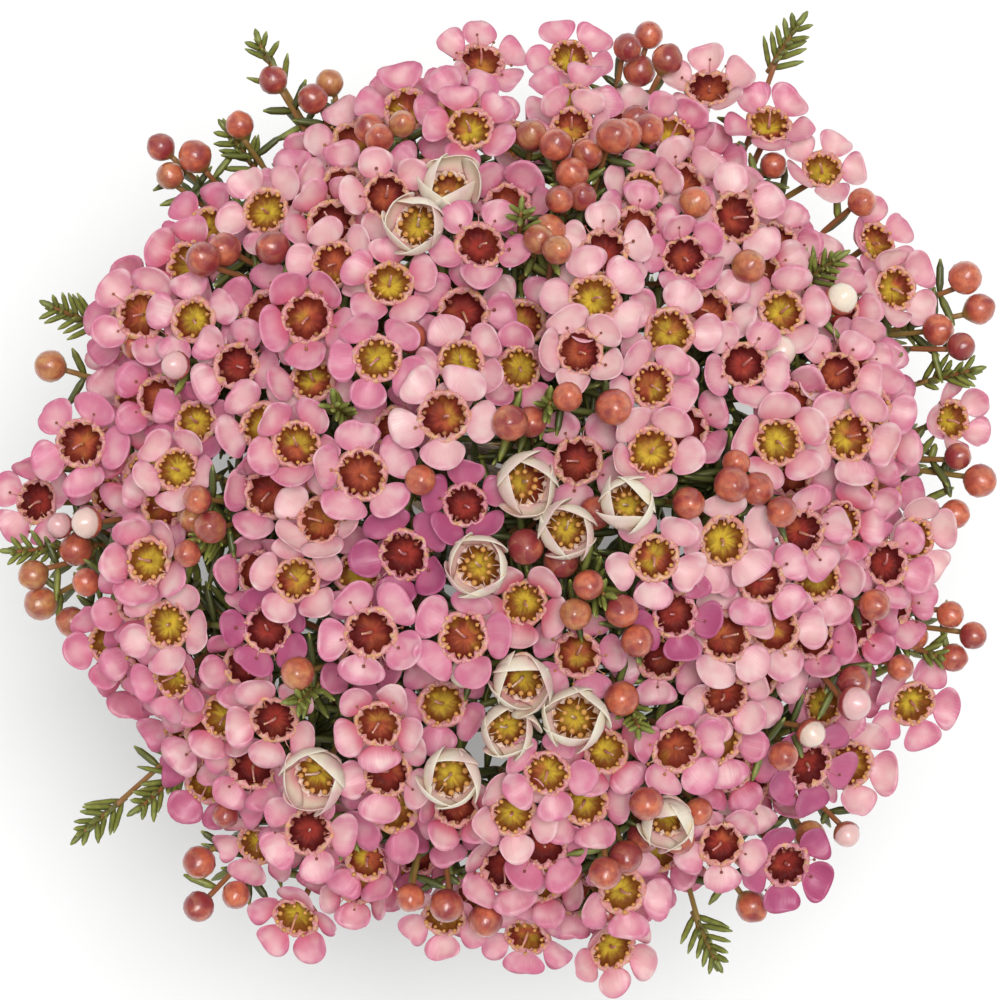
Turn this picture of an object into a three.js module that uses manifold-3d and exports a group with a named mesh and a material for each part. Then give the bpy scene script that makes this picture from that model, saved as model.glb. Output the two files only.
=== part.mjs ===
// A round, hand-tied bunch of flowering waxflower stems that stands on its cut ends.
//
// Each stem is one woody piece. It runs from its level cut through the band, where all the stems cross in
// a spiral, and forks into branches with needle leaves. Each branch carries one spray: a knob from which
// short stalks fan out to cupped five-petalled flowers, round buds and leafy shoot tips. A rubber band
// holds the stems together at the waist.
//
// Units are millimetres, +Z is up, and the floor that the cut ends stand on is z = 0.

import * as THREE from "three";
import { ConvexHull } from "three/addons/math/ConvexHull.js";
import Module from "manifold-3d";

const wasm = await Module();
wasm.setup();

const { Vector3 } = THREE;
const UP = new Vector3(0, 0, 1);
const TURN = 2 * Math.PI;
const GOLDEN_ANGLE = Math.PI * (3 - Math.sqrt(5));
const degrees = THREE.MathUtils.degToRad;
const GAP = 0.3; // left between pieces that touch

// ---- Driving dimensions -------------------------------------------------------------------------

// The head is a dome: an ellipsoid round the axis, which the outermost flower centres lie on.
const HEAD_RADIUS = 82; // axis to the dome at its widest level
const HEAD_LEVEL = 190; // height of that level
const HEAD_RISE = 58; // that level to the top of the dome
const WAIST_LEVEL = 104; // height of the band
const FAN_LEVEL = 108; // the point of the axis from which the sprays fan out
const EYE_HEIGHT = 800; // above the widest level: where the places below are seen from

const FLOWER_COUNT = 206;
const FLOWER_RADIUS = [8.3, 9.7];
const FLOWER_WRAP = degrees(98); // how far over the dome the flowers reach, from straight up
const FRONT_DEPTH = [0, 3]; // below the dome, for the flowers placed by hand
const BACK_DEPTH = [4, 11]; // and for those that fill in between them
const DEEPEST = 16;
const STALK_ROOM = 0.2; // kept round a stalk
const ELBOW_SHARE = 0.5; // of a stalk's length that drops straight before it slants to its knob
const LEAST_BEND = degrees(24); // a stalk that would bend less has no elbow
const PETALS = 5;
const CUP = 0.46; // the cup's radius, as a share of the flower's
const LIFT = { open: [4, 34], filling: [8, 40], half: 68 }; // of the petals, in degrees
const SWAY = { open: 0.3, filling: 0.2, half: 0.25, bud: 0.5 }; // how far each kind turns at random
const OUTWARD = 0.55; // how far a flower faces along the dome's normal, and
const UPWARD = 1; // how far a flower or a bud faces straight up

const BUD_RADIUS = [2.4, 3.3];
const BUD_DEPTH = [-4, 1];
const BUD_SPREAD = { least: 3.2, each: 0.5 }; // from the middle of a cluster, and more for each bud
const TIP_DEPTH = [-5, -2];
const STALK_RADIUS = 0.55;
const STALK_TOP = { flower: 0.2, bud: 0.35 }; // its radius, as a share of what it bears
const FOOT_DROP = { flower: 0.3, bud: 0.9 }; // from its middle down to its stalk, as a share of its radius
const BUD_TURN = 0.4; // how far a bud strays from its even place round its cluster, in radians
const KNOB_RADIUS = 2;
const KNOB_FOOT = 0.5; // the radius of its flat foot, as a share of the knob's
const SUNK_SHARE = 0.4; // how far out in the knob a sunk stalk starts, as a share of the knob's radius
const HUB_DEPTH = 22; // below the dome
const HUB_REACH = 10; // above a hub: the middle of the room from which it draws its members
const HUB_WRAP = degrees(95);
const TIP_PAIRS = 3; // of needles on a leafy shoot tip
const NEEDLE = { length: 9, foot: 2.6, slant: degrees(38) }; // foot is its width along the shoot
const SHOOT = { radius: 0.5, point: 1.5 }; // its top, and how far that stands above the needles

// How the flowers, buds and tips settle: see settle().
const SETTLE_STEPS = 120;
const STEP_SHARE = 0.15;
const LONGEST_STEP = 1.2;
const DISC_SHARE = 0.5;
const EASE = { placed: 0.7, filling: 1.3 }; // how readily a member gives way
const NEIGHBOURS = 24;
const OUTERMOST = 1.1; // a flower's place, as a share of the dome
const TINY = 0.01; // the least distance that a push is divided by
const LEAST_REACH = 0.5; // and the least from a flower's middle to a stalk that it pushes

// The balls that stand for a body and its stalk as it settles. Reaches, drops and sizes are shares of its
// radius, and a tip's ball is in millimetres.
const PETAL_BALL = { reach: 0.78, size: 0.2 };
const CUP_BALL = { drop: 0.1, size: 0.42 };
const TIP_BALL = { drop: 2, size: 2 };
const STALK_BALLS = [0.15, 0.4, 0.65, 0.9]; // places along a stalk, from its foot to its elbow
const HALF_DEPTH = 0.3; // of the disc that stands for a flower's petals

// The three rings of stems, from the middle one outwards. lean is how far a stem runs sideways for each
// millimetre of height, and lag is how far its head lies round the axis from its place in the band.
const RINGS = [
  { stems: 1, sprays: 3, waist: 0, lean: 0, fork: 172, lag: 0 },
  { stems: 4, sprays: 12, waist: 4.8, lean: 0.2, fork: 144, lag: 1.1 },
  { stems: 9, sprays: 27, waist: 9.5, lean: 0.42, fork: 124, lag: 1.1 },
];
const STEM_RADIUS = { cut: 2.1, waist: 1.9, fork: 1.5, side: 1.15, tip: 0.9 };
const STEM_SIDES = 5;
const BRANCH_SIDES = 3;
const FORKS = { first: 0.03, apart: 0.15 }; // where branches leave a stem, along its line past the fork
const BEND = { start: 0.4, end: 0.35 }; // how long a branch keeps its direction at each end
const LEAFY_PLACES = { leader: [0.18, 0.66], side: [0.42, 0.74] }; // where a branch bears pairs of needles
const BAND = { inner: 12.0, outer: 13.4, turns: 3, height: 7.2, groove: 0.6, sides: 12 };
const RIDGE = [0.25, 0.75]; // where a turn of the band is flat, as shares of its height

// Places in the head as they look from straight above, [x, y].
// Flowers whose cups have turned dark red.
const DARK_FLOWERS = [
  [-5, 82], [49, 54], [35, 47], [-4, 49], [19, 49], [-36, 34], [-67, 34], [14, 29], [49, 25], [65, 25],
  [-11, 14], [-24, 4], [-78, 11], [-36, -1], [-19, -10], [-4, 2], [-71, -17], [-41, -27], [-26, -27],
  [33, -20], [49, -13], [47, -25], [56, -27], [48, -37], [35, -49], [-40, -44], [-22, -45], [-21, -54],
  [-36, -63], [10, -68], [-20, 59], [38, 74], [59, -6], [57, -55], [53, -70], [-85, -2],
];
// Flowers whose cups are still green or gold.
const GOLD_FLOWERS = [
  [18, 84], [-5, 71], [49, 74], [61, 62], [77, 52], [-31, 45], [-19, 42], [-20, 28], [15, 39], [32, 30],
  [78, 38], [75, 18], [65, 12], [80, -4], [-39, 11], [-58, 6], [25, 18], [6, 23], [-39, -15], [-28, -17],
  [-63, -24], [-74, -31], [-63, -34], [-8, -28], [9, -19], [31, -9], [67, -4], [65, -15], [-55, -45],
  [11, -54], [1, -62], [-48, -68], [-48, 54], [22, 76], [51, 9], [-4, 27], [28, 9], [47, -6], [68, -51],
  [84, -38], [-40, -82], [-9, -80], [6, -84], [23, -85], [-62, 46], [86, 14],
];
// Flowers only half open.
const CREAM_FLOWERS = [
  [-10, 63], [-15, 50], [-1, -10], [6, 4], [16, -1], [23, 1], [15, -37], [4, -36], [31, -64], [-32, -49],
  [-11, -51], [0, -47],
];
// Places at the rim that the flowers that fill in leave bare, [x, y, radius].
const BARE_PLACES = [
  [8, 82, 9], [-77, 43, 8], [86, -47, 7],
];
// Clusters of buds, [x, y, buds].
const BUD_CLUSTERS = [
  [-62, 65, 3], [-40, 75, 3], [-24, 74, 4], [-51, 47, 3], [28, 84, 4], [27, 71, 4], [12, 69, 3],
  [13, 58, 4], [11, 46, 2], [-77, 27, 2], [50, 64, 2], [39, 60, 1], [58, 40, 3], [68, 50, 1],
  [87, 37, 4], [86, 6, 3], [86, -27, 4], [71, -29, 3], [-84, 1, 3], [-84, -16, 5], [-56, -6, 3],
  [-49, 2, 2], [13, 13, 5], [9, -8, 2], [20, -21, 3], [28, -26, 1], [26, -40, 1], [34, -2, 1],
  [46, 4, 3], [49, -6, 1], [28, -54, 2], [21, -72, 6], [41, -65, 4], [47, -74, 1], [-49, -59, 2],
  [-55, -75, 3], [-12, -72, 2], [0, -78, 1], [-37, -32, 1], [-10, -39, 1], [57, -46, 2], [62, -38, 1],
  [63, -65, 2], [-12, 4, 1], [-14, 34, 1], [-61, 27, 1],
];
// Leafy shoot tips.
const LEAFY_TIPS = [
  [-46, 88], [-50, 70], [58, 90], [-84, 34], [-33, 18], [-80, -64], [-64, -56], [62, 47], [13, 17],
  [21, -19], [84, -30], [42, -88], [-36, -38], [-26, -66], [-57, -10], [25, -48], [50, 2], [3, 55],
  [-93, -8], [91, 22],
];

// ---- Repeatable random draws --------------------------------------------------------------------

let seed = 76;

function draw(low, high) {
  seed = (seed * 1664525 + 1013904223) % 4294967296;
  return low + ((high - low) * seed) / 4294967296;
}

function drawVector() {
  return new Vector3(draw(-1, 1), draw(-1, 1), draw(-1, 1));
}

// ---- The head's dome ----------------------------------------------------------------------------

// The point a depth below the dome, at a bearing and a tilt from straight up.
function domePoint(bearing, tilt, depth) {
  const across = (HEAD_RADIUS - depth) * Math.sin(tilt);
  const height = HEAD_LEVEL + (HEAD_RISE - depth) * Math.cos(tilt);
  return new Vector3(across * Math.cos(bearing), across * Math.sin(bearing), height);
}

// The tilt of point i of n spread evenly over the dome as far as wrap.
function evenTilt(i, n, wrap) {
  return Math.acos(1 - ((i + 0.5) / n) * (1 - Math.cos(wrap)));
}

function domeNormal(p) {
  const across = HEAD_RADIUS ** 2;
  return new Vector3(p.x / across, p.y / across, (p.z - HEAD_LEVEL) / HEAD_RISE ** 2).normalize();
}

// How far out a point lies, as a share of the dome.
function domeShare(p) {
  return Math.hypot(p.x / HEAD_RADIUS, p.y / HEAD_RADIUS, (p.z - HEAD_LEVEL) / HEAD_RISE);
}

// The point a depth below the dome that is seen at a place. Places past its edge are level with the edge.
function seenAt(x, y, depth) {
  const share = Math.min(Math.hypot(x, y) / HEAD_RADIUS, 1);
  const rise = HEAD_RISE * Math.sqrt(1 - share ** 2) - depth;
  const nearer = 1 - rise / EYE_HEIGHT;
  return new Vector3(x * nearer, y * nearer, HEAD_LEVEL + rise);
}

function fanDirection(p) {
  return new Vector3(p.x, p.y, p.z - FAN_LEVEL).normalize();
}

// ---- Sprays and what they carry -----------------------------------------------------------------

// Sets a hub below the dome, on the line from the fan's point towards a target.
function aimHub(hub, target) {
  hub.axis = fanDirection(target);
  hub.at = target.clone().addScaledVector(hub.axis, -HUB_DEPTH);
}

function placeHubs() {
  const count = RINGS.reduce((sum, ring) => sum + ring.sprays, 0);
  return Array.from({ length: count }, (_, i) => {
    const hub = { members: [] };
    aimHub(hub, domePoint(i * GOLDEN_ANGLE, evenTilt(i, count, HUB_WRAP), 0));
    return hub;
  });
}

function makeFlower(at, lift, sway) {
  const facing = domeNormal(at).multiplyScalar(OUTWARD).addScaledVector(UP, UPWARD);
  facing.addScaledVector(drawVector(), sway).normalize();
  const ease = EASE.placed;
  const [radius, spin, outline] = [draw(...FLOWER_RADIUS), draw(0, TURN), PETAL_OUTLINE];
  return { kind: "flower", at, facing, radius, lift, spin, ease, outline };
}

// The flowers placed by hand, then as many as fill the widest gaps between them further down.
function placeFlowers() {
  const open = [...DARK_FLOWERS, ...GOLD_FLOWERS];
  const flowers = open.map(([x, y]) =>
    makeFlower(seenAt(x, y, draw(...FRONT_DEPTH)), degrees(draw(...LIFT.open)), SWAY.open),
  );
  for (const [x, y] of CREAM_FLOWERS) {
    const half = makeFlower(seenAt(x, y, draw(...FRONT_DEPTH)), degrees(LIFT.half), SWAY.half);
    flowers.push({ ...half, plain: true });
  }
  const CANDIDATES = 700;
  const candidates = Array.from({ length: CANDIDATES }, (_, i) =>
    domePoint(i * GOLDEN_ANGLE, evenTilt(i, CANDIDATES, FLOWER_WRAP), BACK_DEPTH[0]),
  ).filter((p) => BARE_PLACES.every(([x, y, r]) => Math.hypot(p.x - x, p.y - y) > r));
  const room = candidates.map((p) => Math.min(...flowers.map((f) => f.at.distanceTo(p))));
  while (flowers.length < FLOWER_COUNT) {
    const best = room.indexOf(Math.max(...room));
    const at = candidates[best].clone();
    at.addScaledVector(domeNormal(at), BACK_DEPTH[0] - draw(...BACK_DEPTH));
    const filling = makeFlower(at, degrees(draw(...LIFT.filling)), SWAY.filling);
    flowers.push({ ...filling, ease: EASE.filling, plain: true, outline: DEEP_OUTLINE });
    candidates.forEach((p, i) => (room[i] = Math.min(room[i], candidates[best].distanceTo(p))));
  }
  return flowers;
}

function placeBuds() {
  const buds = [];
  for (const [x, y, count] of BUD_CLUSTERS) {
    for (let i = 0; i < count; i++) {
      const spread = count === 1 ? 0 : BUD_SPREAD.least + BUD_SPREAD.each * count;
      const turn = (i * TURN) / count + draw(-BUD_TURN, BUD_TURN);
      const at = seenAt(x + spread * Math.cos(turn), y + spread * Math.sin(turn), draw(...BUD_DEPTH));
      const facing = domeNormal(at).addScaledVector(UP, UPWARD).addScaledVector(drawVector(), SWAY.bud);
      const radius = draw(...BUD_RADIUS);
      buds.push({ kind: "bud", at, facing: facing.normalize(), radius, spin: 0, ease: EASE.placed });
    }
  }
  return buds;
}

function placeTips() {
  return LEAFY_TIPS.map(([x, y]) => {
    const at = seenAt(x, y, draw(...TIP_DEPTH));
    const spin = draw(0, TURN);
    return { kind: "tip", at, facing: fanDirection(at), radius: SHOOT.radius, spin, ease: EASE.placed };
  });
}

// The radius of the top of a member's stalk.
function stalkTop(member) {
  const { kind, radius } = member;
  return kind === "tip" ? STALK_RADIUS : STALK_TOP[kind] * radius;
}

// Where a member's stalk starts, at the foot of its bell or body.
function footOf(member) {
  const { kind, radius } = member;
  const drop = kind === "tip" ? TIP_PAIRS * NEEDLE.foot : FOOT_DROP[kind] * radius;
  return member.at.clone().addScaledVector(member.facing, -drop);
}

// Where a member's stalk bends: it drops straight into the head first, then slants to its knob.
function elbowOf(member) {
  const foot = footOf(member);
  const drop = ELBOW_SHARE * foot.distanceTo(member.hub.at);
  return foot.addScaledVector(fanDirection(member.at), -drop);
}

// ---- Settling the members clear of each other ---------------------------------------------------

// Balls that stand for a member, as [centre, radius]: a flower's petals and cup, a bud's body or a tip's
// needles.
function bodyBalls({ kind, at, facing, radius, lift, spin }) {
  if (kind === "bud") return [[at, radius + STALK_ROOM]];
  if (kind === "tip") return [[at.clone().addScaledVector(facing, -TIP_BALL.drop), TIP_BALL.size]];
  const [side, other] = acrossFrom(facing, spin);
  const out = (PETAL_BALL.reach - CUP) * radius;
  const reach = CUP * radius + out * Math.cos(lift);
  const petals = Array.from({ length: 2 * PETALS }, (_, k) => {
    const turn = ((k + 0.5) * TURN) / (2 * PETALS);
    return [around(at, facing, side, other, reach, out * Math.sin(lift), turn), PETAL_BALL.size * radius];
  });
  const cup = [at.clone().addScaledVector(facing, -CUP_BALL.drop * radius), CUP_BALL.size * radius];
  return [...petals, cup];
}

// Balls along the part of a stalk above its elbow.
function stalkBalls(member) {
  const foot = footOf(member);
  const elbow = elbowOf(member);
  const top = stalkTop(member);
  return STALK_BALLS.map((share) => [
    foot.clone().lerp(elbow, share),
    STALK_ROOM + THREE.MathUtils.lerp(top, STALK_RADIUS, share),
  ]);
}

// How far overlapping balls of two members push the first away from the second.
function ballPush(balls, others) {
  const push = new Vector3();
  const away = new Vector3();
  for (const [p, a] of balls) {
    for (const [q, b] of others) {
      const apart = p.distanceTo(q);
      if (apart >= a + b) continue;
      push.addScaledVector(away.subVectors(p, q), (a + b - apart) / Math.max(apart, TINY));
    }
  }
  return push;
}

// How far a flower pushes a stalk that runs through it sideways, towards its rim.
function discPush(flower, stalk) {
  const push = new Vector3();
  if (flower.kind !== "flower") return push;
  for (const [p, r] of stalk) {
    const across = p.clone().sub(flower.at);
    const height = across.dot(flower.facing);
    if (Math.abs(height) > HALF_DEPTH * flower.radius + r) continue;
    across.addScaledVector(flower.facing, -height);
    const reach = across.length();
    const over = flower.radius + r - reach;
    if (over > 0) push.addScaledVector(across, (DISC_SHARE * over) / Math.max(reach, LEAST_REACH));
  }
  return push;
}

// Pushes members that overlap apart, a little at a time, and keeps the flowers in the shell of the head.
function settle(members) {
  for (let step = 0; step < SETTLE_STEPS; step++) {
    const bodies = members.map(bodyBalls);
    const stalks = members.map(stalkBalls);
    const pushes = members.map(() => new Vector3());
    members.forEach((member, i) => {
      for (let j = i + 1; j < members.length; j++) {
        const other = members[j];
        if (member.at.distanceTo(other.at) > NEIGHBOURS) continue;
        const push = ballPush(bodies[i], bodies[j]);
        push.add(ballPush(stalks[i], bodies[j])).add(ballPush(bodies[i], stalks[j]));
        push.add(discPush(other, stalks[i])).sub(discPush(member, stalks[j]));
        pushes[i].add(push);
        pushes[j].sub(push);
      }
    });
    members.forEach((member, i) => {
      member.at.add(pushes[i].multiplyScalar(STEP_SHARE * member.ease).clampLength(0, LONGEST_STEP));
      if (member.kind === "flower") keepInShell(member.at);
    });
  }
}

function keepInShell(p) {
  const share = domeShare(p);
  const kept = THREE.MathUtils.clamp(share, 1 - DEEPEST / HEAD_RISE, OUTERMOST) / share;
  p.set(p.x * kept, p.y * kept, HEAD_LEVEL + (p.z - HEAD_LEVEL) * kept);
}

function nearestHub(member, hubs) {
  const off = (hub) => hub.at.clone().addScaledVector(hub.axis, HUB_REACH).distanceTo(member.at);
  return hubs.reduce((a, b) => (off(b) < off(a) ? b : a));
}

// The directions in which stalks leave a knob: towards their members, but spread clear of each other.
function spreadStalks(hub) {
  const SPREAD = degrees(38);
  const STEPS = 40;
  const away = hub.axis.clone().negate();
  const leave = hub.members.map((m) => elbowOf(m).sub(hub.at).normalize());
  for (let step = 0; step < STEPS; step++) {
    for (let i = 0; i < leave.length; i++) {
      for (const other of [away, ...leave]) {
        const angle = leave[i].angleTo(other);
        if (other === leave[i] || angle >= SPREAD) continue;
        leave[i].addScaledVector(other, -0.5 * (SPREAD - angle)).normalize();
      }
    }
  }
  hub.members.forEach((m, i) => (m.leaves = leave[i]));
}

// Moves each hub under the middle of the members nearest to it.
function centreHubs(hubs, members) {
  const ROUNDS = 4;
  for (let round = 0; round < ROUNDS; round++) {
    for (const member of members) member.hub = nearestHub(member, hubs);
    for (const hub of hubs) {
      const own = members.filter((member) => member.hub === hub);
      const middle = own.reduce((sum, m) => sum.add(m.at), new Vector3()).divideScalar(own.length);
      aimHub(hub, middle);
    }
  }
}

function layOut() {
  const hubs = placeHubs();
  const members = [...placeFlowers(), ...placeBuds(), ...placeTips()];
  centreHubs(hubs, members);
  settle(members);
  for (const member of members) member.hub.members.push(member);
  hubs.forEach(spreadStalks);
  return hubs;
}

// ---- Lofted solids ------------------------------------------------------------------------------

// Two unit vectors square to an axis and to each other, turned by spin.
function acrossFrom(axis, spin) {
  const start = Math.abs(axis.z) < 0.9 ? UP : new Vector3(1, 0, 0);
  const u = new Vector3().crossVectors(start, axis).normalize();
  const v = new Vector3().crossVectors(axis, u);
  const side = u.clone().multiplyScalar(Math.cos(spin)).addScaledVector(v, Math.sin(spin));
  return [side, new Vector3().crossVectors(axis, side)];
}

function around(at, axis, side, other, radius, height, turn) {
  return at
    .clone()
    .addScaledVector(axis, height)
    .addScaledVector(side, radius * Math.cos(turn))
    .addScaledVector(other, radius * Math.sin(turn));
}

function ringOf(sides, at, axis, side, radius, height = 0, offset = 0) {
  const other = new Vector3().crossVectors(axis, side);
  return Array.from({ length: sides }, (_, k) =>
    around(at, axis, side, other, radius, height, ((k + offset) * TURN) / sides),
  );
}

// A closed surface under construction: points, and faces as triples of their indices.
class Surface {
  points = [];
  faces = [];

  addLoop(loop) {
    return loop.map((point) => this.points.push(point) - 1);
  }

  // Joins loop a to the loop b below it, stepping along whichever has the next edge's middle first.
  // A loop of one point is a tip. Returns the number of its first face.
  bridge(a, b) {
    const first = this.faces.length;
    const stepsA = a.length > 1 ? a.length : 0;
    const stepsB = b.length > 1 ? b.length : 0;
    const at = (loop, k) => loop[k % loop.length];
    let i = 0;
    let j = 0;
    while (i < stepsA || j < stepsB) {
      if (j >= stepsB || (i < stepsA && (i + 0.5) / stepsA <= (j + 0.5) / stepsB)) {
        this.faces.push([at(a, i), at(b, j), at(a, i + 1)]);
        i++;
      } else {
        this.faces.push([at(a, i), at(b, j), at(b, j + 1)]);
        j++;
      }
    }
    return first;
  }

  // Closes a loop with a fan.
  close(loop) {
    for (let i = 1; i + 1 < loop.length; i++) this.faces.push([loop[0], loop[i], loop[i + 1]]);
  }

  // Skins loops of points, from their top down to a last loop of indices. Returns each band's first face.
  skin(loops, last) {
    const rings = [...loops.map((loop) => this.addLoop(loop)), last];
    this.close(rings[0]);
    return rings.slice(1).map((ring, k) => this.bridge(rings[k], ring));
  }

  // Raises a spike from a face.
  raise(face, apex) {
    const [p, q, r] = this.faces[face];
    const [tip] = this.addLoop([apex]);
    this.faces[face] = [p, q, tip];
    this.faces.push([q, r, tip], [r, p, tip]);
  }

  toSolid() {
    const vertProperties = new Float32Array(this.points.flatMap((p) => p.toArray()));
    const triVerts = new Uint32Array(this.faces.flat());
    return new wasm.Manifold(new wasm.Mesh({ numProp: 3, vertProperties, triVerts }));
  }
}

// A solid skinned over loops of points, from its top down.
function loftSurface(loops) {
  const surface = new Surface();
  const last = surface.addLoop(loops[loops.length - 1]);
  surface.skin(loops.slice(0, -1), last);
  surface.close([...last].reverse());
  return surface;
}

// Where a member's stalk leaves its knob. A sunk root starts inside the knob.
function rootLoop(member, grow, sunk) {
  const { hub, leaves, facing, spin } = member;
  const [side] = acrossFrom(facing, spin);
  const across = side.clone().addScaledVector(leaves, -side.dot(leaves)).normalize();
  const depth = sunk ? SUNK_SHARE * KNOB_RADIUS : Math.sqrt(KNOB_RADIUS ** 2 - STALK_RADIUS ** 2);
  return ringOf(3, hub.at, leaves, across, STALK_RADIUS + grow, depth);
}

// A member's stalk from under its bell or body to its elbow.
function stalkLoops(member, grow) {
  const { facing, spin, hub } = member;
  const [side] = acrossFrom(facing, spin);
  const foot = footOf(member);
  const elbow = elbowOf(member);
  const along = foot.clone().sub(elbow).normalize().add(elbow.clone().sub(hub.at).normalize()).normalize();
  const across = side.clone().addScaledVector(along, -side.dot(along)).normalize();
  const top = ringOf(3, foot, facing, side, stalkTop(member) + grow);
  const straight = fanDirection(member.at).angleTo(foot.sub(hub.at)) < LEAST_BEND;
  return straight ? [top] : [top, ringOf(3, elbow, along, across, STALK_RADIUS + grow)];
}

// A flower's outline: for each petal a notch and two corners, as [share of the radius, share of the pitch].
// The flowers further down have one corner for each petal.
const PETAL_OUTLINE = [[0.6, 0], [0.98, 0.3], [0.98, 0.7]];
const DEEP_OUTLINE = [[0.66, 0], [1, 0.5]];
const CUP_FLOOR = -0.18; // height of the cup's floor and of its rim, as shares of the flower's radius
const CUP_RIM = 0.06;
const BUD_SHAPE = { top: 1.05, girth: 1.1, level: 0.12 }; // as shares of the bud's radius

function petalRim(member, grow) {
  const { at, facing, radius, lift, spin, outline } = member;
  const [side, other] = acrossFrom(facing, spin);
  const rim = [];
  for (let k = 0; k < PETALS; k++) {
    for (const [share, part] of outline) {
      const out = (share - CUP) * radius;
      const reach = CUP * radius + out * Math.cos(lift) + Math.abs(grow);
      const height = out * Math.sin(lift) + grow;
      rim.push(around(at, facing, side, other, reach, height, ((k + part) * TURN) / PETALS));
    }
  }
  return rim;
}

// A cupped flower with its bell and stalk.
function flowerLoops(member, grow) {
  const { at, facing, radius, spin, plain } = member;
  const [side] = acrossFrom(facing, spin);
  const loops = [[at.clone().addScaledVector(facing, CUP_FLOOR * radius + grow)]];
  if (!plain) loops.push(ringOf(PETALS, at, facing, side, CUP * radius, CUP_RIM * radius + grow));
  loops.push(petalRim(member, grow));
  if (grow > 0) loops.push(petalRim(member, -grow));
  return [...loops, ...stalkLoops(member, grow)];
}

function budLoops(member, grow) {
  const { at, facing, radius } = member;
  const [side] = acrossFrom(facing, 0);
  const size = radius + grow;
  return [
    [at.clone().addScaledVector(facing, BUD_SHAPE.top * size)],
    ringOf(4, at, facing, side, BUD_SHAPE.girth * size, BUD_SHAPE.level * size),
    ...stalkLoops(member, grow),
  ];
}

// A leafy shoot tip: four-sided rings that end in a point.
function tipLoops(member, grow) {
  const { at, facing, spin } = member;
  const [side] = acrossFrom(facing, spin);
  const rings = Array.from({ length: TIP_PAIRS + 1 }, (_, k) =>
    ringOf(4, at, facing, side, STALK_RADIUS + grow, -NEEDLE.foot * k),
  );
  const point = at.clone().addScaledVector(facing, SHOOT.point + grow);
  return [[point], ...rings, ...stalkLoops(member, grow).slice(1)];
}

function memberLoops(member, grow) {
  return { flower: flowerLoops, bud: budLoops, tip: tipLoops }[member.kind](member, grow);
}

// A tapering branch through points, cut level where it stands on the floor.
function branchLoops({ points, radii, sides }, grow) {
  const loops = [];
  let side = null;
  points.forEach((point, i) => {
    const before = points[Math.max(i - 1, 0)];
    const after = points[Math.min(i + 1, points.length - 1)];
    const axis = after.clone().sub(before).normalize();
    side = side ? side.clone().addScaledVector(axis, -side.dot(axis)).normalize() : acrossFrom(axis, 0)[0];
    const loop = ringOf(sides, point, axis, side, radii[i] + grow);
    if (point.z === 0) for (const p of loop) p.addScaledVector(axis, -p.z / axis.z);
    loops.unshift(loop);
  });
  return loops;
}

// ---- Stems --------------------------------------------------------------------------------------

// A point of a stem's straight run. The runs of a ring lie on a twisted sheaf round the axis.
function sheafPoint(ring, angle, height) {
  const run = ring.lean * (height - WAIST_LEVEL);
  const across = new Vector3(ring.waist, run, height);
  return across.applyAxisAngle(UP, angle);
}

// A branch's line from a start to a spray's knob.
function branchCurve(start, direction, hub) {
  const end = hub.at.clone().addScaledVector(hub.axis, -KNOB_RADIUS - GAP);
  const reach = start.distanceTo(end);
  return new THREE.CubicBezierCurve3(
    start,
    start.clone().addScaledVector(direction, BEND.start * reach),
    end.clone().addScaledVector(hub.axis, -BEND.end * reach),
    end,
  );
}

// A branch along a curve, as its points from the start, their radii, and the bands of its surface that
// carry needles.
function makeBranch(curve, before, radii, sides, leafy) {
  const short = NEEDLE.foot / curve.getLength();
  const [low, high] = leafy;
  const shares = [0, low, low + short, high, high + short, 1];
  const points = [...before, ...shares.map((share) => curve.getPoint(share))];
  const [thick, thin] = radii.slice(-2);
  const taper = shares.map((share) => THREE.MathUtils.lerp(thick, thin, share));
  const bands = [
    { band: 1, share: high },
    { band: 3, share: low },
  ];
  return { points, radii: [...radii.slice(0, -2), ...taper], sides, bands, curve };
}

// A stem's branches. Its own line ends in its topmost spray, and the others leave that line.
function stemBranches(ring, angle, group) {
  const { cut, waist, fork: thick, side, tip } = STEM_RADIUS;
  const fork = sheafPoint(ring, angle, ring.fork);
  const direction = fork.clone().sub(sheafPoint(ring, angle, WAIST_LEVEL)).normalize();
  const leader = branchCurve(fork, direction, group[group.length - 1]);
  const run = [0, WAIST_LEVEL].map((z) => sheafPoint(ring, angle, z));
  const sides = group.slice(0, -1).map((hub, i) => {
    const share = FORKS.first + FORKS.apart * i;
    const curve = branchCurve(leader.getPoint(share), leader.getTangent(share), hub);
    return makeBranch(curve, [], [side, tip], BRANCH_SIDES, LEAFY_PLACES.side);
  });
  const radii = [cut, waist, thick, tip];
  return [makeBranch(leader, run, radii, STEM_SIDES, LEAFY_PLACES.leader), ...sides];
}

function bearing(hub) {
  return (Math.atan2(hub.at.y, hub.at.x) + TURN) % TURN;
}

function placeStems(hubs) {
  const stems = [];
  let first = 0;
  for (const ring of RINGS) {
    const own = hubs.slice(first, first + ring.sprays).sort((a, b) => bearing(a) - bearing(b));
    first += ring.sprays;
    const each = ring.sprays / ring.stems;
    for (let k = 0; k < ring.stems; k++) {
      const angle = ((k + 0.5) / ring.stems) * TURN - ring.lag;
      const group = own.slice(k * each, (k + 1) * each).sort((a, b) => a.at.z - b.at.z);
      stems.push(stemBranches(ring, angle, group));
    }
  }
  return stems;
}

// ---- Elements and the room between them ---------------------------------------------------------

// An element is a solid that is grown whole: a branch, a knob, a stalk, or a member with its stalk.
// Wood, knobs, stalks and shoots have rank 0 and are never trimmed. Flowers and buds have rank 1.
function element(owner, rank, source, solidAt) {
  const solid = solidAt(0);
  return { owner, rank, source, solid, solidAt, box: solid.boundingBox() };
}

function memberSolid(member, grow, sunk = true) {
  return loftSurface([...memberLoops(member, grow), rootLoop(member, grow, sunk)]).toSolid();
}

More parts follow.
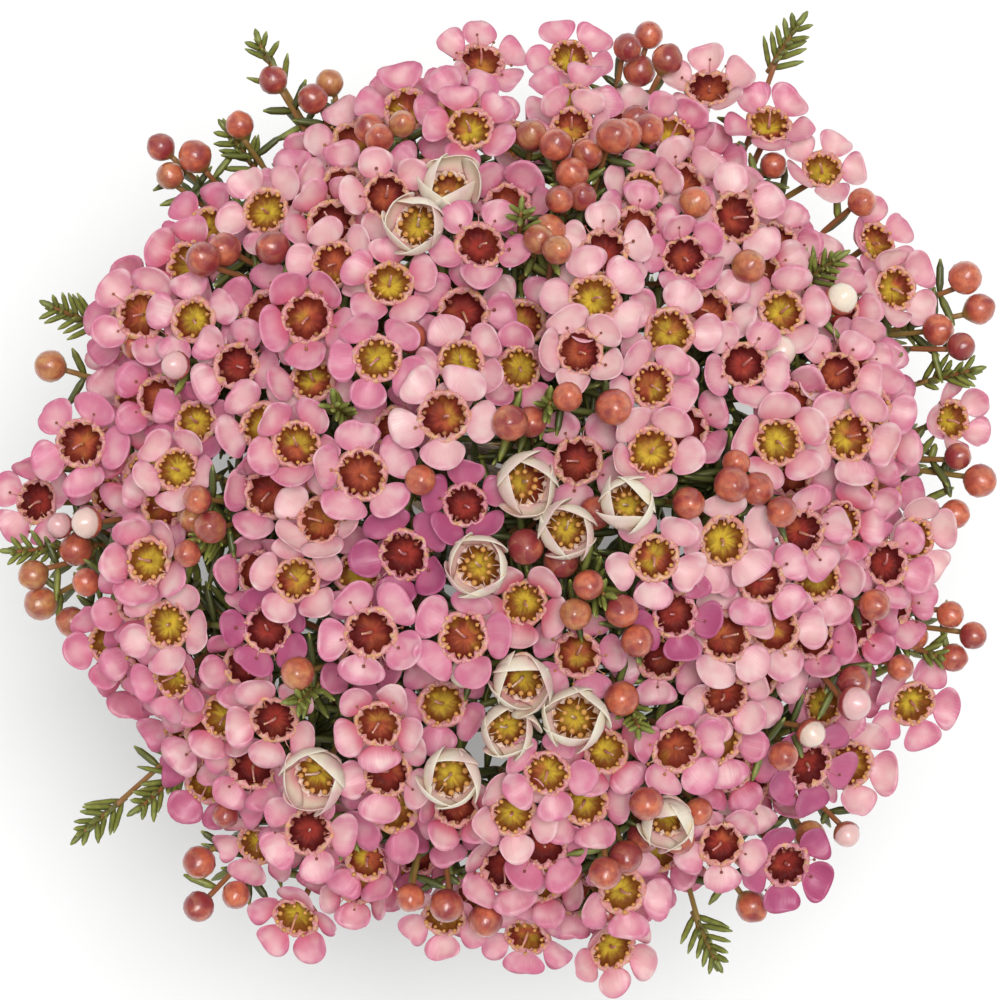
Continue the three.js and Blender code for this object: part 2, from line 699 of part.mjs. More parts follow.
function stalkSolid(member, grow) {
  return loftSurface([...stalkLoops(member, grow), rootLoop(member, grow, true)]).toSolid();
}

function stemElements(branches, owner) {
  return branches.map((branch) =>
    element(owner, 0, branch, (grow) => loftSurface(branchLoops(branch, grow)).toSolid()),
  );
}

function sprayElements(hub, owner) {
  const elements = [element(owner, 0, hub, (grow) => knobSurface(hub, grow).toSolid())];
  for (const member of hub.members) {
    const isTip = member.kind === "tip";
    if (!isTip) elements.push(element(owner, 0, member.hub, (grow) => stalkSolid(member, grow)));
    elements.push(element(owner, isTip ? 0 : 1, member, (grow) => memberSolid(member, grow)));
  }
  return elements;
}

function boxesMeet(a, b) {
  return [0, 1, 2].every((k) => a.min[k] < b.max[k] + 2 * GAP && b.min[k] < a.max[k] + 2 * GAP);
}

function meets(e, f) {
  if (!boxesMeet(e.box, f.box)) return false;
  f.grown ??= f.solidAt(GAP);
  return !e.solid.intersect(f.grown).isEmpty();
}

// What a flower or bud is trimmed by: other pieces' elements of lower rank, or its equals before it.
function cuttersOf(e, order, elements) {
  return elements.filter((f, i) => f.owner !== e.owner && (f.rank < e.rank || i < order) && meets(e, f));
}

// Raises opposite needles from a band of a surface that starts at a face, where they have room.
function raiseNeedles(surface, sides, start, first, along, hasRoom) {
  const corners = surface.faces.slice(start, start + 2 * sides).flat().map((i) => surface.points[i]);
  const middle = corners.reduce((sum, p) => sum.add(p), new Vector3()).divideScalar(corners.length);
  for (const way of [first, first + Math.floor(sides / 2)]) {
    const face = start + 2 * (way % sides) + 1;
    const foot = surface.faces[face].map((i) => surface.points[i]);
    const centre = foot.reduce((sum, p) => sum.add(p), new Vector3()).divideScalar(3);
    const out = centre.clone().sub(middle);
    out.addScaledVector(along, -out.dot(along)).normalize();
    const apex = centre.addScaledVector(along, NEEDLE.length * Math.cos(NEEDLE.slant));
    apex.addScaledVector(out, NEEDLE.length * Math.sin(NEEDLE.slant));
    if (hasRoom(foot, apex)) surface.raise(face, apex);
  }
}

// Whether a needle clears every element but the one that it grows on, and the needles of other pieces.
function needleTest(owner, source, elements) {
  return (foot, apex) => {
    const wide = 1 + GAP; // the foot is about one unit across, so this leaves the gap beside it
    const centre = foot.reduce((sum, p) => sum.add(p), new Vector3()).divideScalar(3);
    const loop = foot.map((p) => p.clone().sub(centre).multiplyScalar(wide).add(centre));
    const tip = apex.clone().addScaledVector(apex.clone().sub(centre).normalize(), 2 * GAP);
    const solid = loftSurface([[tip], loop]).toSolid();
    const needle = { owner, solid, box: solid.boundingBox(), grown: solid, rank: 2, needle: true };
    const blocked = elements.some((f) => {
      if (f.source === source || (f.needle && f.owner === owner)) return false;
      if (f.owner === owner && source.points && f.source.points) return false;
      return meets(needle, f);
    });
    if (!blocked) elements.push(needle);
    return !blocked;
  };
}

// ---- Growing the pieces -------------------------------------------------------------------------

// The knob at a branch's end: the hull of its stalks' roots and of a flat foot over the branch.
function knobSurface(hub, grow) {
  const [side] = acrossFrom(hub.axis, 0);
  const roots = hub.members.map((member) => rootLoop(member, grow, false));
  const foot = ringOf(3, hub.at, hub.axis, side, KNOB_FOOT * KNOB_RADIUS + grow, -KNOB_RADIUS - grow);
  const surface = new Surface();
  const indices = new Map();
  for (const face of new ConvexHull().setFromPoints([...roots.flat(), ...foot]).faces) {
    const { edge } = face;
    const corners = [edge, edge.next, edge.next.next].map((e) => e.head().point);
    for (const p of corners) if (!indices.has(p)) indices.set(p, surface.addLoop([p])[0]);
    surface.faces.push(corners.map((p) => indices.get(p)));
  }
  surface.roots = roots.map((loop) => loop.map((p) => indices.get(p)));
  return surface;
}

// Grows a member and its needles from its root's face on the knob.
function growMember(surface, member, root, elements, owner) {
  const face = surface.faces.findIndex((corners) => root.every((i) => corners.includes(i)));
  if (face < 0) return false;
  surface.faces.splice(face, 1);
  const starts = surface.skin(memberLoops(member, 0), root);
  if (member.kind === "tip") {
    const hasRoom = needleTest(owner, member, elements);
    for (let k = 0; k < TIP_PAIRS; k++) raiseNeedles(surface, 4, starts[k + 1], k, member.facing, hasRoom);
  }
  return true;
}

// The largest body of a solid. What a trim cut loose is dropped.
function largestBody(solid) {
  return solid.decompose().reduce((a, b) => (b.volume() > a.volume() ? b : a));
}

// A spray. A member that crosses no other is grown from the knob's own surface, and the rest are joined on.
function growSpray(hub, owner, elements) {
  const surface = knobSurface(hub, 0);
  const bodies = [];
  const placed = [];
  hub.members.forEach((member, k) => {
    const e = elements.find((f) => f.source === member);
    const cutters = e.rank === 1 ? cuttersOf(e, elements.indexOf(e), elements) : [];
    const bare = memberSolid(member, 0, false);
    const crossed = placed.some((other) => !bare.intersect(other).isEmpty());
    placed.push(bare);
    const free = !cutters.length && !crossed;
    if (free && growMember(surface, member, surface.roots[k], elements, owner)) return;
    const trimmed = cutters.reduce((solid, f) => solid.subtract(f.grown), e.solid);
    bodies.push(cutters.length ? trimmed.add(stalkSolid(member, 0)) : trimmed);
  });
  return largestBody(wasm.Manifold.union([surface.toSolid(), ...bodies]));
}

// A stem with its branches and their needles.
function growStem(branches, owner, elements) {
  const bodies = branches.map((branch) => {
    const loops = branchLoops(branch, 0);
    const surface = new Surface();
    const last = surface.addLoop(loops[loops.length - 1]);
    const starts = surface.skin(loops.slice(0, -1), last);
    surface.close([...last].reverse());
    const hasRoom = needleTest(owner, branch, elements);
    branch.bands.forEach(({ band, share }, k) => {
      const along = branch.curve.getTangent(share);
      raiseNeedles(surface, branch.sides, starts[band], k, along, hasRoom);
    });
    return surface.toSolid();
  });
  return largestBody(wasm.Manifold.union(bodies));
}

// ---- The band -----------------------------------------------------------------------------------

// A rubber band wound round the stems: one ring with a rounded ridge for each turn.
function bandGeometry() {
  const { inner, outer, turns, height, groove, sides } = BAND;
  const pitch = height / turns;
  const profile = [new THREE.Vector2(inner, 0)];
  for (let k = 0; k < turns; k++) {
    for (const part of RIDGE) profile.push(new THREE.Vector2(outer, (k + part) * pitch));
    if (k + 1 < turns) profile.push(new THREE.Vector2(outer - groove, (k + 1) * pitch));
  }
  profile.push(new THREE.Vector2(inner, height), new THREE.Vector2(inner, 0));
  const geometry = new THREE.LatheGeometry(profile, sides);
  return geometry.rotateX(Math.PI / 2).translate(0, 0, WAIST_LEVEL - height / 2);
}

// ---- The bunch ----------------------------------------------------------------------------------

const woodMaterial = new THREE.MeshStandardMaterial({ color: 0x7d6a42, roughness: 0.75, metalness: 0 });
const blossomMaterial = new THREE.MeshStandardMaterial({ color: 0xe7a0b8, roughness: 0.6, metalness: 0 });
const bandMaterial = new THREE.MeshStandardMaterial({ color: 0xc7a878, roughness: 0.7, metalness: 0 });

function makeMesh(name, geometry, material) {
  const mesh = new THREE.Mesh(geometry, material);
  mesh.name = name;
  return mesh;
}

function toGeometry(solid) {
  const mesh = solid.getMesh();
  const geometry = new THREE.BufferGeometry();
  geometry.setAttribute("position", new THREE.BufferAttribute(mesh.vertProperties, 3));
  geometry.setIndex(new THREE.BufferAttribute(mesh.triVerts, 1));
  geometry.computeVertexNormals();
  return geometry;
}

function numbered(name, i) {
  return `${name}_${String(i + 1).padStart(2, "0")}`;
}

function makeBunch() {
  const hubs = layOut();
  const stems = placeStems(hubs);
  const elements = [
    ...stems.flatMap((branches, i) => stemElements(branches, numbered("stem", i))),
    ...hubs.flatMap((hub, i) => sprayElements(hub, numbered("spray", i))),
  ];
  const bunch = new THREE.Group();
  hubs.forEach((hub, i) => {
    const name = numbered("spray", i);
    bunch.add(makeMesh(name, toGeometry(growSpray(hub, name, elements)), blossomMaterial));
  });
  stems.forEach((branches, i) => {
    const name = numbered("stem", i);
    bunch.add(makeMesh(name, toGeometry(growStem(branches, name, elements)), woodMaterial));
  });
  bunch.add(makeMesh("rubber_band", bandGeometry(), bandMaterial));
  return standOnOrigin(bunch);
}

// The bunch in a group that puts the middle of its outline, in plan, over the origin.
function standOnOrigin(bunch) {
  const middle = new THREE.Box3().setFromObject(bunch).getCenter(new Vector3());
  bunch.position.set(-middle.x, -middle.y, 0);
  return new THREE.Group().add(bunch);
}

export default makeBunch();
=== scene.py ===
"""A round, hand-tied bunch of flowering waxflower stems that stands on its cut ends.

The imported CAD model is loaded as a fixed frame. Each of its nodes is replaced by a finer piece that
keeps the node's form and place: a woody stem with its leaves, a spray of flowers, buds and shoot
tips, or the rubber band. The places follow the same rules and the same draws as the CAD model's.

Lengths are millimetres from the bunch's axis and from the floor until a piece is finished, and metres
after that.
"""

import math
from dataclasses import dataclass, field

import bmesh
import bpy
import numpy as np
from bpy.props import FloatProperty, FloatVectorProperty, IntProperty, PointerProperty
from mathutils import Matrix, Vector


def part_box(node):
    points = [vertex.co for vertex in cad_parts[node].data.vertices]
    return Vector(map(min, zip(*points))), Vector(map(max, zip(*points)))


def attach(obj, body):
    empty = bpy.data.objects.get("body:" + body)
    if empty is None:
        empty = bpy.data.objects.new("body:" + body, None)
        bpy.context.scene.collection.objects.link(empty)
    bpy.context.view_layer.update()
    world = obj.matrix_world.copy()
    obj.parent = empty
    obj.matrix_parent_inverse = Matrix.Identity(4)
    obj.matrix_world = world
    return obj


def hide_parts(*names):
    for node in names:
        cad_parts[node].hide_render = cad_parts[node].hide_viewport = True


bl_info = {
    "name": "Waxflower bunch",
    "version": (1, 0, 0),
    "blender": (4, 5, 0),
    "location": "View3D > Sidebar > Waxflower",
    "description": "Makes the flowers, buds, leaves, stems and band of a standing bunch of waxflower",
    "category": "Add Mesh",
}

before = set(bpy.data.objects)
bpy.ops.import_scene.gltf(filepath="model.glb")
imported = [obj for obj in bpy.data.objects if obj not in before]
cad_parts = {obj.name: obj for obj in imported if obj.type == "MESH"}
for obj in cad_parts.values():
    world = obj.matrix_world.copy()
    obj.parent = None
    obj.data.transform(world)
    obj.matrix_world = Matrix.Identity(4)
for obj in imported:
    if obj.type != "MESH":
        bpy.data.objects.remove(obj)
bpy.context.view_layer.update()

MM = 0.001
TURN = 2 * math.pi
UP = np.array([0.0, 0.0, 1.0])
GOLDEN_ANGLE = math.pi * (3 - math.sqrt(5))

BAND_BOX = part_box("rubber_band")
AXIS = (BAND_BOX[0] + BAND_BOX[1]) / 2
WAIST_LEVEL = AXIS.z / MM

# ---- Driving dimensions, as in the CAD model --------

# The head is a dome: an ellipsoid round the axis, which the outermost flower centres lie on.
HEAD_RADIUS = 82
HEAD_LEVEL = 190
HEAD_RISE = 58
FAN_LEVEL = 108
EYE_HEIGHT = 800

FLOWER_COUNT = 206
FLOWER_RADIUS = (8.3, 9.7)
FLOWER_WRAP = math.radians(98)
FRONT_DEPTH = (0, 3)  # below the dome, for the flowers with places of their own
BACK_DEPTH = (4, 11)  # and for those that fill in between them
DEEPEST = 16
STALK_ROOM = 0.2  # kept round a stalk
ELBOW_SHARE = 0.5  # of a stalk's length that drops straight before it slants to its knob
LEAST_BEND = math.radians(24)  # a stalk that would bend less has no elbow
PETALS = 5
CUP = 0.46  # the cup's radius, as a share of the flower's
OPEN_LIFT = (4, 34)
FILLING_LIFT = (8, 40)
HALF_LIFT = 68
SWAY = {"open": 0.3, "filling": 0.2, "half": 0.25, "bud": 0.5}
OUTWARD = 0.55
UPWARD = 1

BUD_RADIUS = (2.4, 3.3)
BUD_DEPTH = (-4, 1)
BUD_SPREAD = (3.2, 0.5)
TIP_DEPTH = (-5, -2)
STALK_RADIUS = 0.55
STALK_TOP = {"flower": 0.2, "bud": 0.35}
FOOT_DROP = {"flower": 0.3, "bud": 0.9}
BUD_TURN = 0.4
KNOB_RADIUS = 2
HUB_DEPTH = 22
HUB_REACH = 10
HUB_WRAP = math.radians(95)
SHOOT_LENGTH = 7.8  # three pairs of needles, 2.6 mm apart
SHOOT_RADIUS = 0.5

# How members are settled. The balls' numbers are shares of a flower's radius, or millimetres.
SETTLE_STEPS = 120
STEP_SHARE = 0.15
LONGEST_STEP = 1.2
DISC_SHARE = 0.5
PLACED_EASE = 0.7
FILLING_EASE = 1.3
NEIGHBOURS = 24
OUTERMOST = 1.1
TINY = 0.01
LEAST_REACH = 0.5
PETAL_BALL = (0.78, 0.2)
CUP_BALL = (0.1, 0.42)
TIP_BALL = (2, 2)
STALK_BALLS = (0.15, 0.4, 0.65, 0.9)
HALF_DEPTH = 0.3
CANDIDATES = 700
HUB_ROUNDS = 4
SPREAD_STEPS = 40
STALKS_APART = math.radians(38)
GAP = 0.3


@dataclass
class Ring:
    """One of the three rings of stems, from the middle one outwards."""

    stems: int
    sprays: int
    waist: float
    lean: float
    fork: float
    lag: float


RINGS = (
    Ring(stems=1, sprays=3, waist=0, lean=0, fork=172, lag=0),
    Ring(stems=4, sprays=12, waist=4.8, lean=0.2, fork=144, lag=1.1),
    Ring(stems=9, sprays=27, waist=9.5, lean=0.42, fork=124, lag=1.1),
)
CUT_RADIUS = 2.1
WAIST_RADIUS = 1.9
FORK_RADIUS = 1.5
SIDE_RADIUS = 1.15
TIP_RADIUS = 0.9
FIRST_FORK = 0.03
FORKS_APART = 0.15
BEND = (0.4, 0.35)
RUN_STEPS = (11, 4)  # points of a stem's straight run, up to the band and from there to its fork
RUN_POINTS = sum(RUN_STEPS) - 2
CURVE_STEPS = 22

# Places in the head as they look from straight above, (x, y).
# Flowers whose cups have turned dark red.
DARK_FLOWERS = (
    (-5, 82), (49, 54), (35, 47), (-4, 49), (19, 49), (-36, 34), (-67, 34), (14, 29), (49, 25), (65, 25),
    (-11, 14), (-24, 4), (-78, 11), (-36, -1), (-19, -10), (-4, 2), (-71, -17), (-41, -27), (-26, -27),
    (33, -20), (49, -13), (47, -25), (56, -27), (48, -37), (35, -49), (-40, -44), (-22, -45), (-21, -54),
    (-36, -63), (10, -68), (-20, 59), (38, 74), (59, -6), (57, -55), (53, -70), (-85, -2),
)
# Flowers whose cups are still green or gold.
GOLD_FLOWERS = (
    (18, 84), (-5, 71), (49, 74), (61, 62), (77, 52), (-31, 45), (-19, 42), (-20, 28), (15, 39),
    (32, 30), (78, 38), (75, 18), (65, 12), (80, -4), (-39, 11), (-58, 6), (25, 18), (6, 23), (-39, -15),
    (-28, -17), (-63, -24), (-74, -31), (-63, -34), (-8, -28), (9, -19), (31, -9), (67, -4), (65, -15),
    (-55, -45), (11, -54), (1, -62), (-48, -68), (-48, 54), (22, 76), (51, 9), (-4, 27), (28, 9),
    (47, -6), (68, -51), (84, -38), (-40, -82), (-9, -80), (6, -84), (23, -85), (-62, 46), (86, 14),
)
# Flowers only half open.
CREAM_FLOWERS = (
    (-10, 63), (-15, 50), (-1, -10), (6, 4), (16, -1), (23, 1), (15, -37), (4, -36), (31, -64),
    (-32, -49), (-11, -51), (0, -47),
)
# Dark flowers with strongly coloured petals.
MAGENTA_FLOWERS = ((-19, -10), (-4, 2), (33, -20), (57, -55), (53, -70), (-41, -27))
# Places at the rim that the flowers that fill in leave bare, (x, y, radius).
BARE_PLACES = ((8, 82, 9), (-77, 43, 8), (86, -47, 7))
# Clusters of buds, (x, y, buds).
BUD_CLUSTERS = (
    (-62, 65, 3), (-40, 75, 3), (-24, 74, 4), (-51, 47, 3), (28, 84, 4), (27, 71, 4), (12, 69, 3),
    (13, 58, 4), (11, 46, 2), (-77, 27, 2), (50, 64, 2), (39, 60, 1), (58, 40, 3), (68, 50, 1),
    (87, 37, 4), (86, 6, 3), (86, -27, 4), (71, -29, 3), (-84, 1, 3), (-84, -16, 5), (-56, -6, 3),
    (-49, 2, 2), (13, 13, 5), (9, -8, 2), (20, -21, 3), (28, -26, 1), (26, -40, 1), (34, -2, 1),
    (46, 4, 3), (49, -6, 1), (28, -54, 2), (21, -72, 6), (41, -65, 4), (47, -74, 1), (-49, -59, 2),
    (-55, -75, 3), (-12, -72, 2), (0, -78, 1), (-37, -32, 1), (-10, -39, 1), (57, -46, 2), (62, -38, 1),
    (63, -65, 2), (-12, 4, 1), (-14, 34, 1), (-61, 27, 1),
)
# Clusters whose buds already show their pale petals.
CAPPED_CLUSTERS = ((-61, 27), (-10, -39), (57, -46), (62, -38), (63, -65), (-84, 1), (58, 40))
# Leafy shoot tips.
LEAFY_TIPS = (
    (-46, 88), (-50, 70), (58, 90), (-84, 34), (-33, 18), (-80, -64), (-64, -56), (62, 47), (13, 17),
    (21, -19), (84, -30), (42, -88), (-36, -38), (-26, -66), (-57, -10), (25, -48), (50, 2), (3, 55),
    (-93, -8), (91, 22),
)

# What the materials are for, in the order of the pieces' slots, and the numbers that they read.
PALETTE = (
    "petal", "cup", "frill", "anther", "bell", "bud", "leaf", "twig", "bark", "cut_wood", "rubber",
)
MARKS = ("along", "edge", "across", "tone", "age", "cream")


# ---- Settings that a user would change --------


def colour(name, description, value):
    """A colour property."""
    return FloatVectorProperty(
        name=name, description=description, subtype="COLOR", size=3, min=0, max=1, default=value
    )


def length(name, description, value):
    """A length property, in metres."""
    return FloatProperty(name=name, description=description, unit="LENGTH", default=value * MM)


def share(name, description, value):
    """A property from 0 to 1."""
    return FloatProperty(
        name=name, description=description, subtype="FACTOR", min=0, max=1, default=value
    )


class BlossomSettings(bpy.types.PropertyGroup):
    """Sizes and colours of the flowers and buds."""

    petal_pale: colour("Pale petal", "Colour of the middle of a pale petal", (0.80, 0.47, 0.47))
    petal_pink: colour("Pink petal", "Colour of the edge of an ordinary petal", (0.64, 0.18, 0.30))
    petal_deep: colour("Deep petal", "Colour of the strongest petals", (0.42, 0.075, 0.19))
    petal_blush: colour("Blush", "Colour at the foot of a petal", (0.55, 0.075, 0.14))
    # Whitish patches on a petal: partly its own paler colour, partly painted soft sheen.
    petal_pale_and_sheen: colour("Petal cloud", "Colour of a petal's whitish patches", (0.86, 0.64, 0.60))
    petal_cream: colour("Half-open petal", "Colour of the half-open flowers", (0.90, 0.80, 0.64))
    # Each cup's wall colour is darker than its middle colour: partly the cup's own darker ring, partly
    # painted shade in its hollow.
    cup_gold: colour("Young cup", "Colour of a young flower's cup", (0.68, 0.48, 0.045))
    cup_olive: colour("Young cup's wall", "Colour round a young flower's cup", (0.24, 0.082, 0.012))
    cup_orange: colour("Brick-red cup", "Colour of the middle of a brick-red cup", (0.50, 0.115, 0.045))
    cup_brick: colour("Brick-red cup's wall", "Colour round a brick-red cup", (0.19, 0.027, 0.014))
    cup_red: colour("Old cup", "Colour of the middle of an old cup", (0.36, 0.042, 0.03))
    cup_burgundy: colour("Old cup's wall", "Colour round an old cup", (0.095, 0.009, 0.009))
    frill: colour("Frill", "Colour of the stamens' threads", (0.68, 0.27, 0.22))
    frill_gold: colour("Golden frill", "Colour of the golden bits in the frill", (0.70, 0.38, 0.12))
    pollen: colour("Young anthers", "Colour of fresh anthers", (0.76, 0.40, 0.10))
    spent: colour("Old anthers", "Colour of spent anthers", (0.24, 0.055, 0.03))
    bud_copper: colour("Bud", "Colour of a bud's lit side", (0.66, 0.16, 0.075))
    # Painted highlight: a lighter colour along the edges where a bud's petals lap.
    bud_lap_highlight: colour("Bud's lap", "Colour of the lit edges where a bud's petals lap", (0.86, 0.44, 0.20))
    bud_green: colour("Bud's foot", "Colour of a bud's foot", (0.50, 0.36, 0.07))
    bud_mauve: colour("Bud's shade", "Colour of a bud's darker patches", (0.29, 0.035, 0.04))
    bud_gold: colour("Young bud", "Colour of the golden patches of some buds", (0.60, 0.31, 0.10))
    petal_thickness: length("Petal thickness", "Thickness of a petal at its middle", 0.34)
    petal_width: share("Petal width", "Half the width of a petal, as a share of the flower", 0.435)
    petal_spoon: share("Petal hollow", "How deep a petal is, as a share of the flower", 0.13)


class GreenSettings(bpy.types.PropertyGroup):
    """Sizes and colours of the stems and leaves."""

    leaf: colour("Leaf", "Colour of a leaf", (0.085, 0.10, 0.024))
    leaf_tip: colour("Leaf tip", "Colour of a leaf's tip and of young leaves", (0.36, 0.40, 0.075))
    twig: colour("Twig", "Colour of the green stalks", (0.28, 0.20, 0.05))
    twig_red: colour("Red twig", "Colour of a twig's sunny side", (0.30, 0.11, 0.04))
    bark: colour("Bark", "Colour of the woody stems", (0.12, 0.07, 0.035))
    bark_pale: colour("Pale bark", "Colour of the flakes on the bark", (0.34, 0.24, 0.14))
    cut_wood: colour("Cut wood", "Colour of the cut stem ends", (0.62, 0.52, 0.30))
    leaf_length: length("Leaf length", "Length of a full-grown leaf", 10)
    leaf_width: length("Leaf width", "Width of a full-grown leaf", 1.6)


class BandSettings(bpy.types.PropertyGroup):
    """Size and colour of the rubber band."""

    rubber: colour("Rubber", "Colour of the rubber band", (0.55, 0.36, 0.16))
    thickness: length("Thickness", "Thickness of the band", 1.2)
    turns: IntProperty(name="Turns", description="How often the band is wound round", default=3, min=1)


class StageSettings(bpy.types.PropertyGroup):
    """The camera, floor and lights."""

    eye_height: length("Eye height", "Camera height above the head's widest level", EYE_HEIGHT)
    view_width: length("View width", "Width of the view at the head's widest level", 194)
    off_centre: length("Off centre", "How far the camera stands beside the axis", 0.4)
    floor: colour("Floor", "Colour of the floor", (0.93, 0.93, 0.93))
    sky: share("Sky", "Strength of the even light from all round", 0.46)
    key: FloatProperty(name="Key light", description="Strength of the main light", default=2.2)


# ---- Repeatable random draws --------


class Draws:
    """A line of random numbers that is the same each time. Its seed is the CAD model's."""

    def __init__(self, seed=76):
        self.seed = seed

    def draw(self, low, high):
        self.seed = (self.seed * 1664525 + 1013904223) % 4294967296
        return low + (high - low) * self.seed / 4294967296

    def vector(self):
        return np.array([self.draw(-1, 1) for _ in range(3)])


# ---- The head's dome --------


def size_of(v):
    return np.linalg.norm(v, axis=-1, keepdims=True)


def unit(v):
    return v / size_of(v)


def dome_point(bearing, tilt, depth):
    """The point a depth below the dome, at a bearing and a tilt from straight up."""
    across = (HEAD_RADIUS - depth) * math.sin(tilt)
    height = HEAD_LEVEL + (HEAD_RISE - depth) * math.cos(tilt)
    return np.array([across * math.cos(bearing), across * math.sin(bearing), height])


def spiral_points(count, wrap, depth):
    """Points at a depth below the dome, spread evenly along a spiral from its top to a tilt of wrap."""
    tilts = [math.acos(1 - (i + 0.5) / count * (1 - math.cos(wrap))) for i in range(count)]
    return [dome_point(i * GOLDEN_ANGLE, tilt, depth) for i, tilt in enumerate(tilts)]


def dome_normal(p):
    across = HEAD_RADIUS**2
    return unit(np.array([p[0] / across, p[1] / across, (p[2] - HEAD_LEVEL) / HEAD_RISE**2]))


def seen_at(x, y, depth):
    """The point a depth below the dome that is seen at a place from straight above."""
    out = min(math.hypot(x, y) / HEAD_RADIUS, 1)
    rise = HEAD_RISE * math.sqrt(1 - out**2) - depth
    nearer = 1 - rise / EYE_HEIGHT
    return np.array([x * nearer, y * nearer, HEAD_LEVEL + rise])


def fan_direction(p):
    return unit(p - FAN_LEVEL * UP)


# ---- Sprays and what they carry --------


@dataclass(eq=False)
class Hub:
    """A spray's knob: where it is, the way its branch comes to it, and what it carries."""

    axis: np.ndarray
    at: np.ndarray
    members: list = field(default_factory=list)


@dataclass(eq=False)
class Member:
    """A flower, a bud or a leafy shoot tip of a spray, with its stalk."""

    kind: str
    at: np.ndarray
    facing: np.ndarray
    radius: float
    spin: float
    look: str = ""
    place: tuple = ()
    lift: float = 0.0
    ease: float = PLACED_EASE
    hub: Hub = None
    leaves: np.ndarray = None


def aim_hub(target):
    """The place and direction of a knob below the dome, under a target."""
    axis = fan_direction(target)
    return axis, target - HUB_DEPTH * axis


def place_hubs():
    count = sum(ring.sprays for ring in RINGS)
    return [Hub(*aim_hub(target)) for target in spiral_points(count, HUB_WRAP, 0)]


def make_flower(draws, at, lift, sway, look, place=(), ease=PLACED_EASE):
    """A flower whose petals are lifted by an angle in degrees, and whose facing sways."""
    facing = dome_normal(at) * OUTWARD + UP * UPWARD
    facing = unit(facing + sway * draws.vector())
    radius = draws.draw(*FLOWER_RADIUS)
    spin = draws.draw(0, TURN)
    return Member("flower", at, facing, radius, spin, look, place, math.radians(lift), ease)


def place_flowers(draws):
    """The flowers with places of their own, then as many as fill the widest gaps further down."""
    flowers = []
    for look, places in (("dark", DARK_FLOWERS), ("gold", GOLD_FLOWERS), ("cream", CREAM_FLOWERS)):
        sway = SWAY["half" if look == "cream" else "open"]
        for x, y in places:
            at = seen_at(x, y, draws.draw(*FRONT_DEPTH))
            lift = HALF_LIFT if look == "cream" else draws.draw(*OPEN_LIFT)
            flowers.append(make_flower(draws, at, lift, sway, look, (x, y)))
    candidates = np.array(spiral_points(CANDIDATES, FLOWER_WRAP, BACK_DEPTH[0]))
    for x, y, radius in BARE_PLACES:
        candidates = candidates[np.hypot(candidates[:, 0] - x, candidates[:, 1] - y) > radius]
    room = np.min([size_of(candidates - flower.at)[:, 0] for flower in flowers], axis=0)
    while len(flowers) < FLOWER_COUNT:
        best = candidates[np.argmax(room)]
        at = best + dome_normal(best) * (BACK_DEPTH[0] - draws.draw(*BACK_DEPTH))
        lift = draws.draw(*FILLING_LIFT)
        flowers.append(make_flower(draws, at, lift, SWAY["filling"], "filling", ease=FILLING_EASE))
        room = np.minimum(room, size_of(candidates - best)[:, 0])
    return flowers


def place_buds(draws):
    buds = []
    for x, y, count in BUD_CLUSTERS:
        for i in range(count):
            spread = 0 if count == 1 else BUD_SPREAD[0] + BUD_SPREAD[1] * count
            turn = i * TURN / count + draws.draw(-BUD_TURN, BUD_TURN)
            depth = draws.draw(*BUD_DEPTH)
            at = seen_at(x + spread * math.cos(turn), y + spread * math.sin(turn), depth)
            facing = dome_normal(at) + UP * UPWARD + draws.vector() * SWAY["bud"]
            radius = draws.draw(*BUD_RADIUS)
            look = "capped" if (x, y) in CAPPED_CLUSTERS and i % 2 == 0 else "berry"
            buds.append(Member("bud", at, unit(facing), radius, 0, look, (x, y)))
    return buds


def place_tips(draws):
    tips = []
    for x, y in LEAFY_TIPS:
        at = seen_at(x, y, draws.draw(*TIP_DEPTH))
        spin = draws.draw(0, TURN)
        tips.append(Member("tip", at, fan_direction(at), SHOOT_RADIUS, spin, place=(x, y)))
    return tips


def foot_drop(member):
    """How far below a member's place its stalk starts."""
    return SHOOT_LENGTH if member.kind == "tip" else FOOT_DROP[member.kind] * member.radius


def stalk_top(member):
    """The radius of the top of a member's stalk."""
    return STALK_RADIUS if member.kind == "tip" else STALK_TOP[member.kind] * member.radius


def foot_of(member):
    return member.at - foot_drop(member) * member.facing


def elbow_of(member):
    """Where a member's stalk bends: it drops straight into the head, then slants to its knob."""
    foot = foot_of(member)
    return foot - fan_direction(member.at) * ELBOW_SHARE * size_of(foot - member.hub.at)


# ---- Settling the members clear of each other --------


def across_from(axis, spin=0.0):
    """Two unit vectors square to an axis and to each other, turned by spin."""
    start = UP if abs(axis[2]) < 0.9 else np.array([1.0, 0.0, 0.0])
    u = unit(np.cross(start, axis))
    v = np.cross(axis, u)
    side = u * math.cos(spin) + v * math.sin(spin)
    return side, np.cross(axis, side)


def body_balls(member):
    """Balls that stand for a member, as rows of (offset, radius). A bud or a tip has one."""
    rows = np.zeros((2 * PETALS + 1, 4))
    rows[:, 3] = -1e6
    if member.kind == "bud":
        rows[0, 3] = member.radius + STALK_ROOM
    elif member.kind == "tip":
        rows[0] = (*(-TIP_BALL[0] * member.facing), TIP_BALL[1])
    else:
        side, other = across_from(member.facing, member.spin)
        out = (PETAL_BALL[0] - CUP) * member.radius
        reach = CUP * member.radius + out * math.cos(member.lift)
        for k in range(2 * PETALS):
            turn = (k + 0.5) * TURN / (2 * PETALS)
            rim = side * reach * math.cos(turn) + other * reach * math.sin(turn)
            middle = member.facing * out * math.sin(member.lift) + rim
            rows[k] = (*middle, PETAL_BALL[1] * member.radius)
        rows[-1] = (*(-CUP_BALL[0] * member.radius * member.facing), CUP_BALL[1] * member.radius)
    return rows


def ball_push(p, a, q, b):
    """How far overlapping balls push the first ones away from the second, pair by pair."""
    away = p[:, :, None] - q[:, None]
    apart = size_of(away)[..., 0]
    over = np.maximum(a[:, :, None] + b[:, None] - apart, 0)
    return np.sum(away * (over / np.maximum(apart, TINY))[..., None], axis=(1, 2))


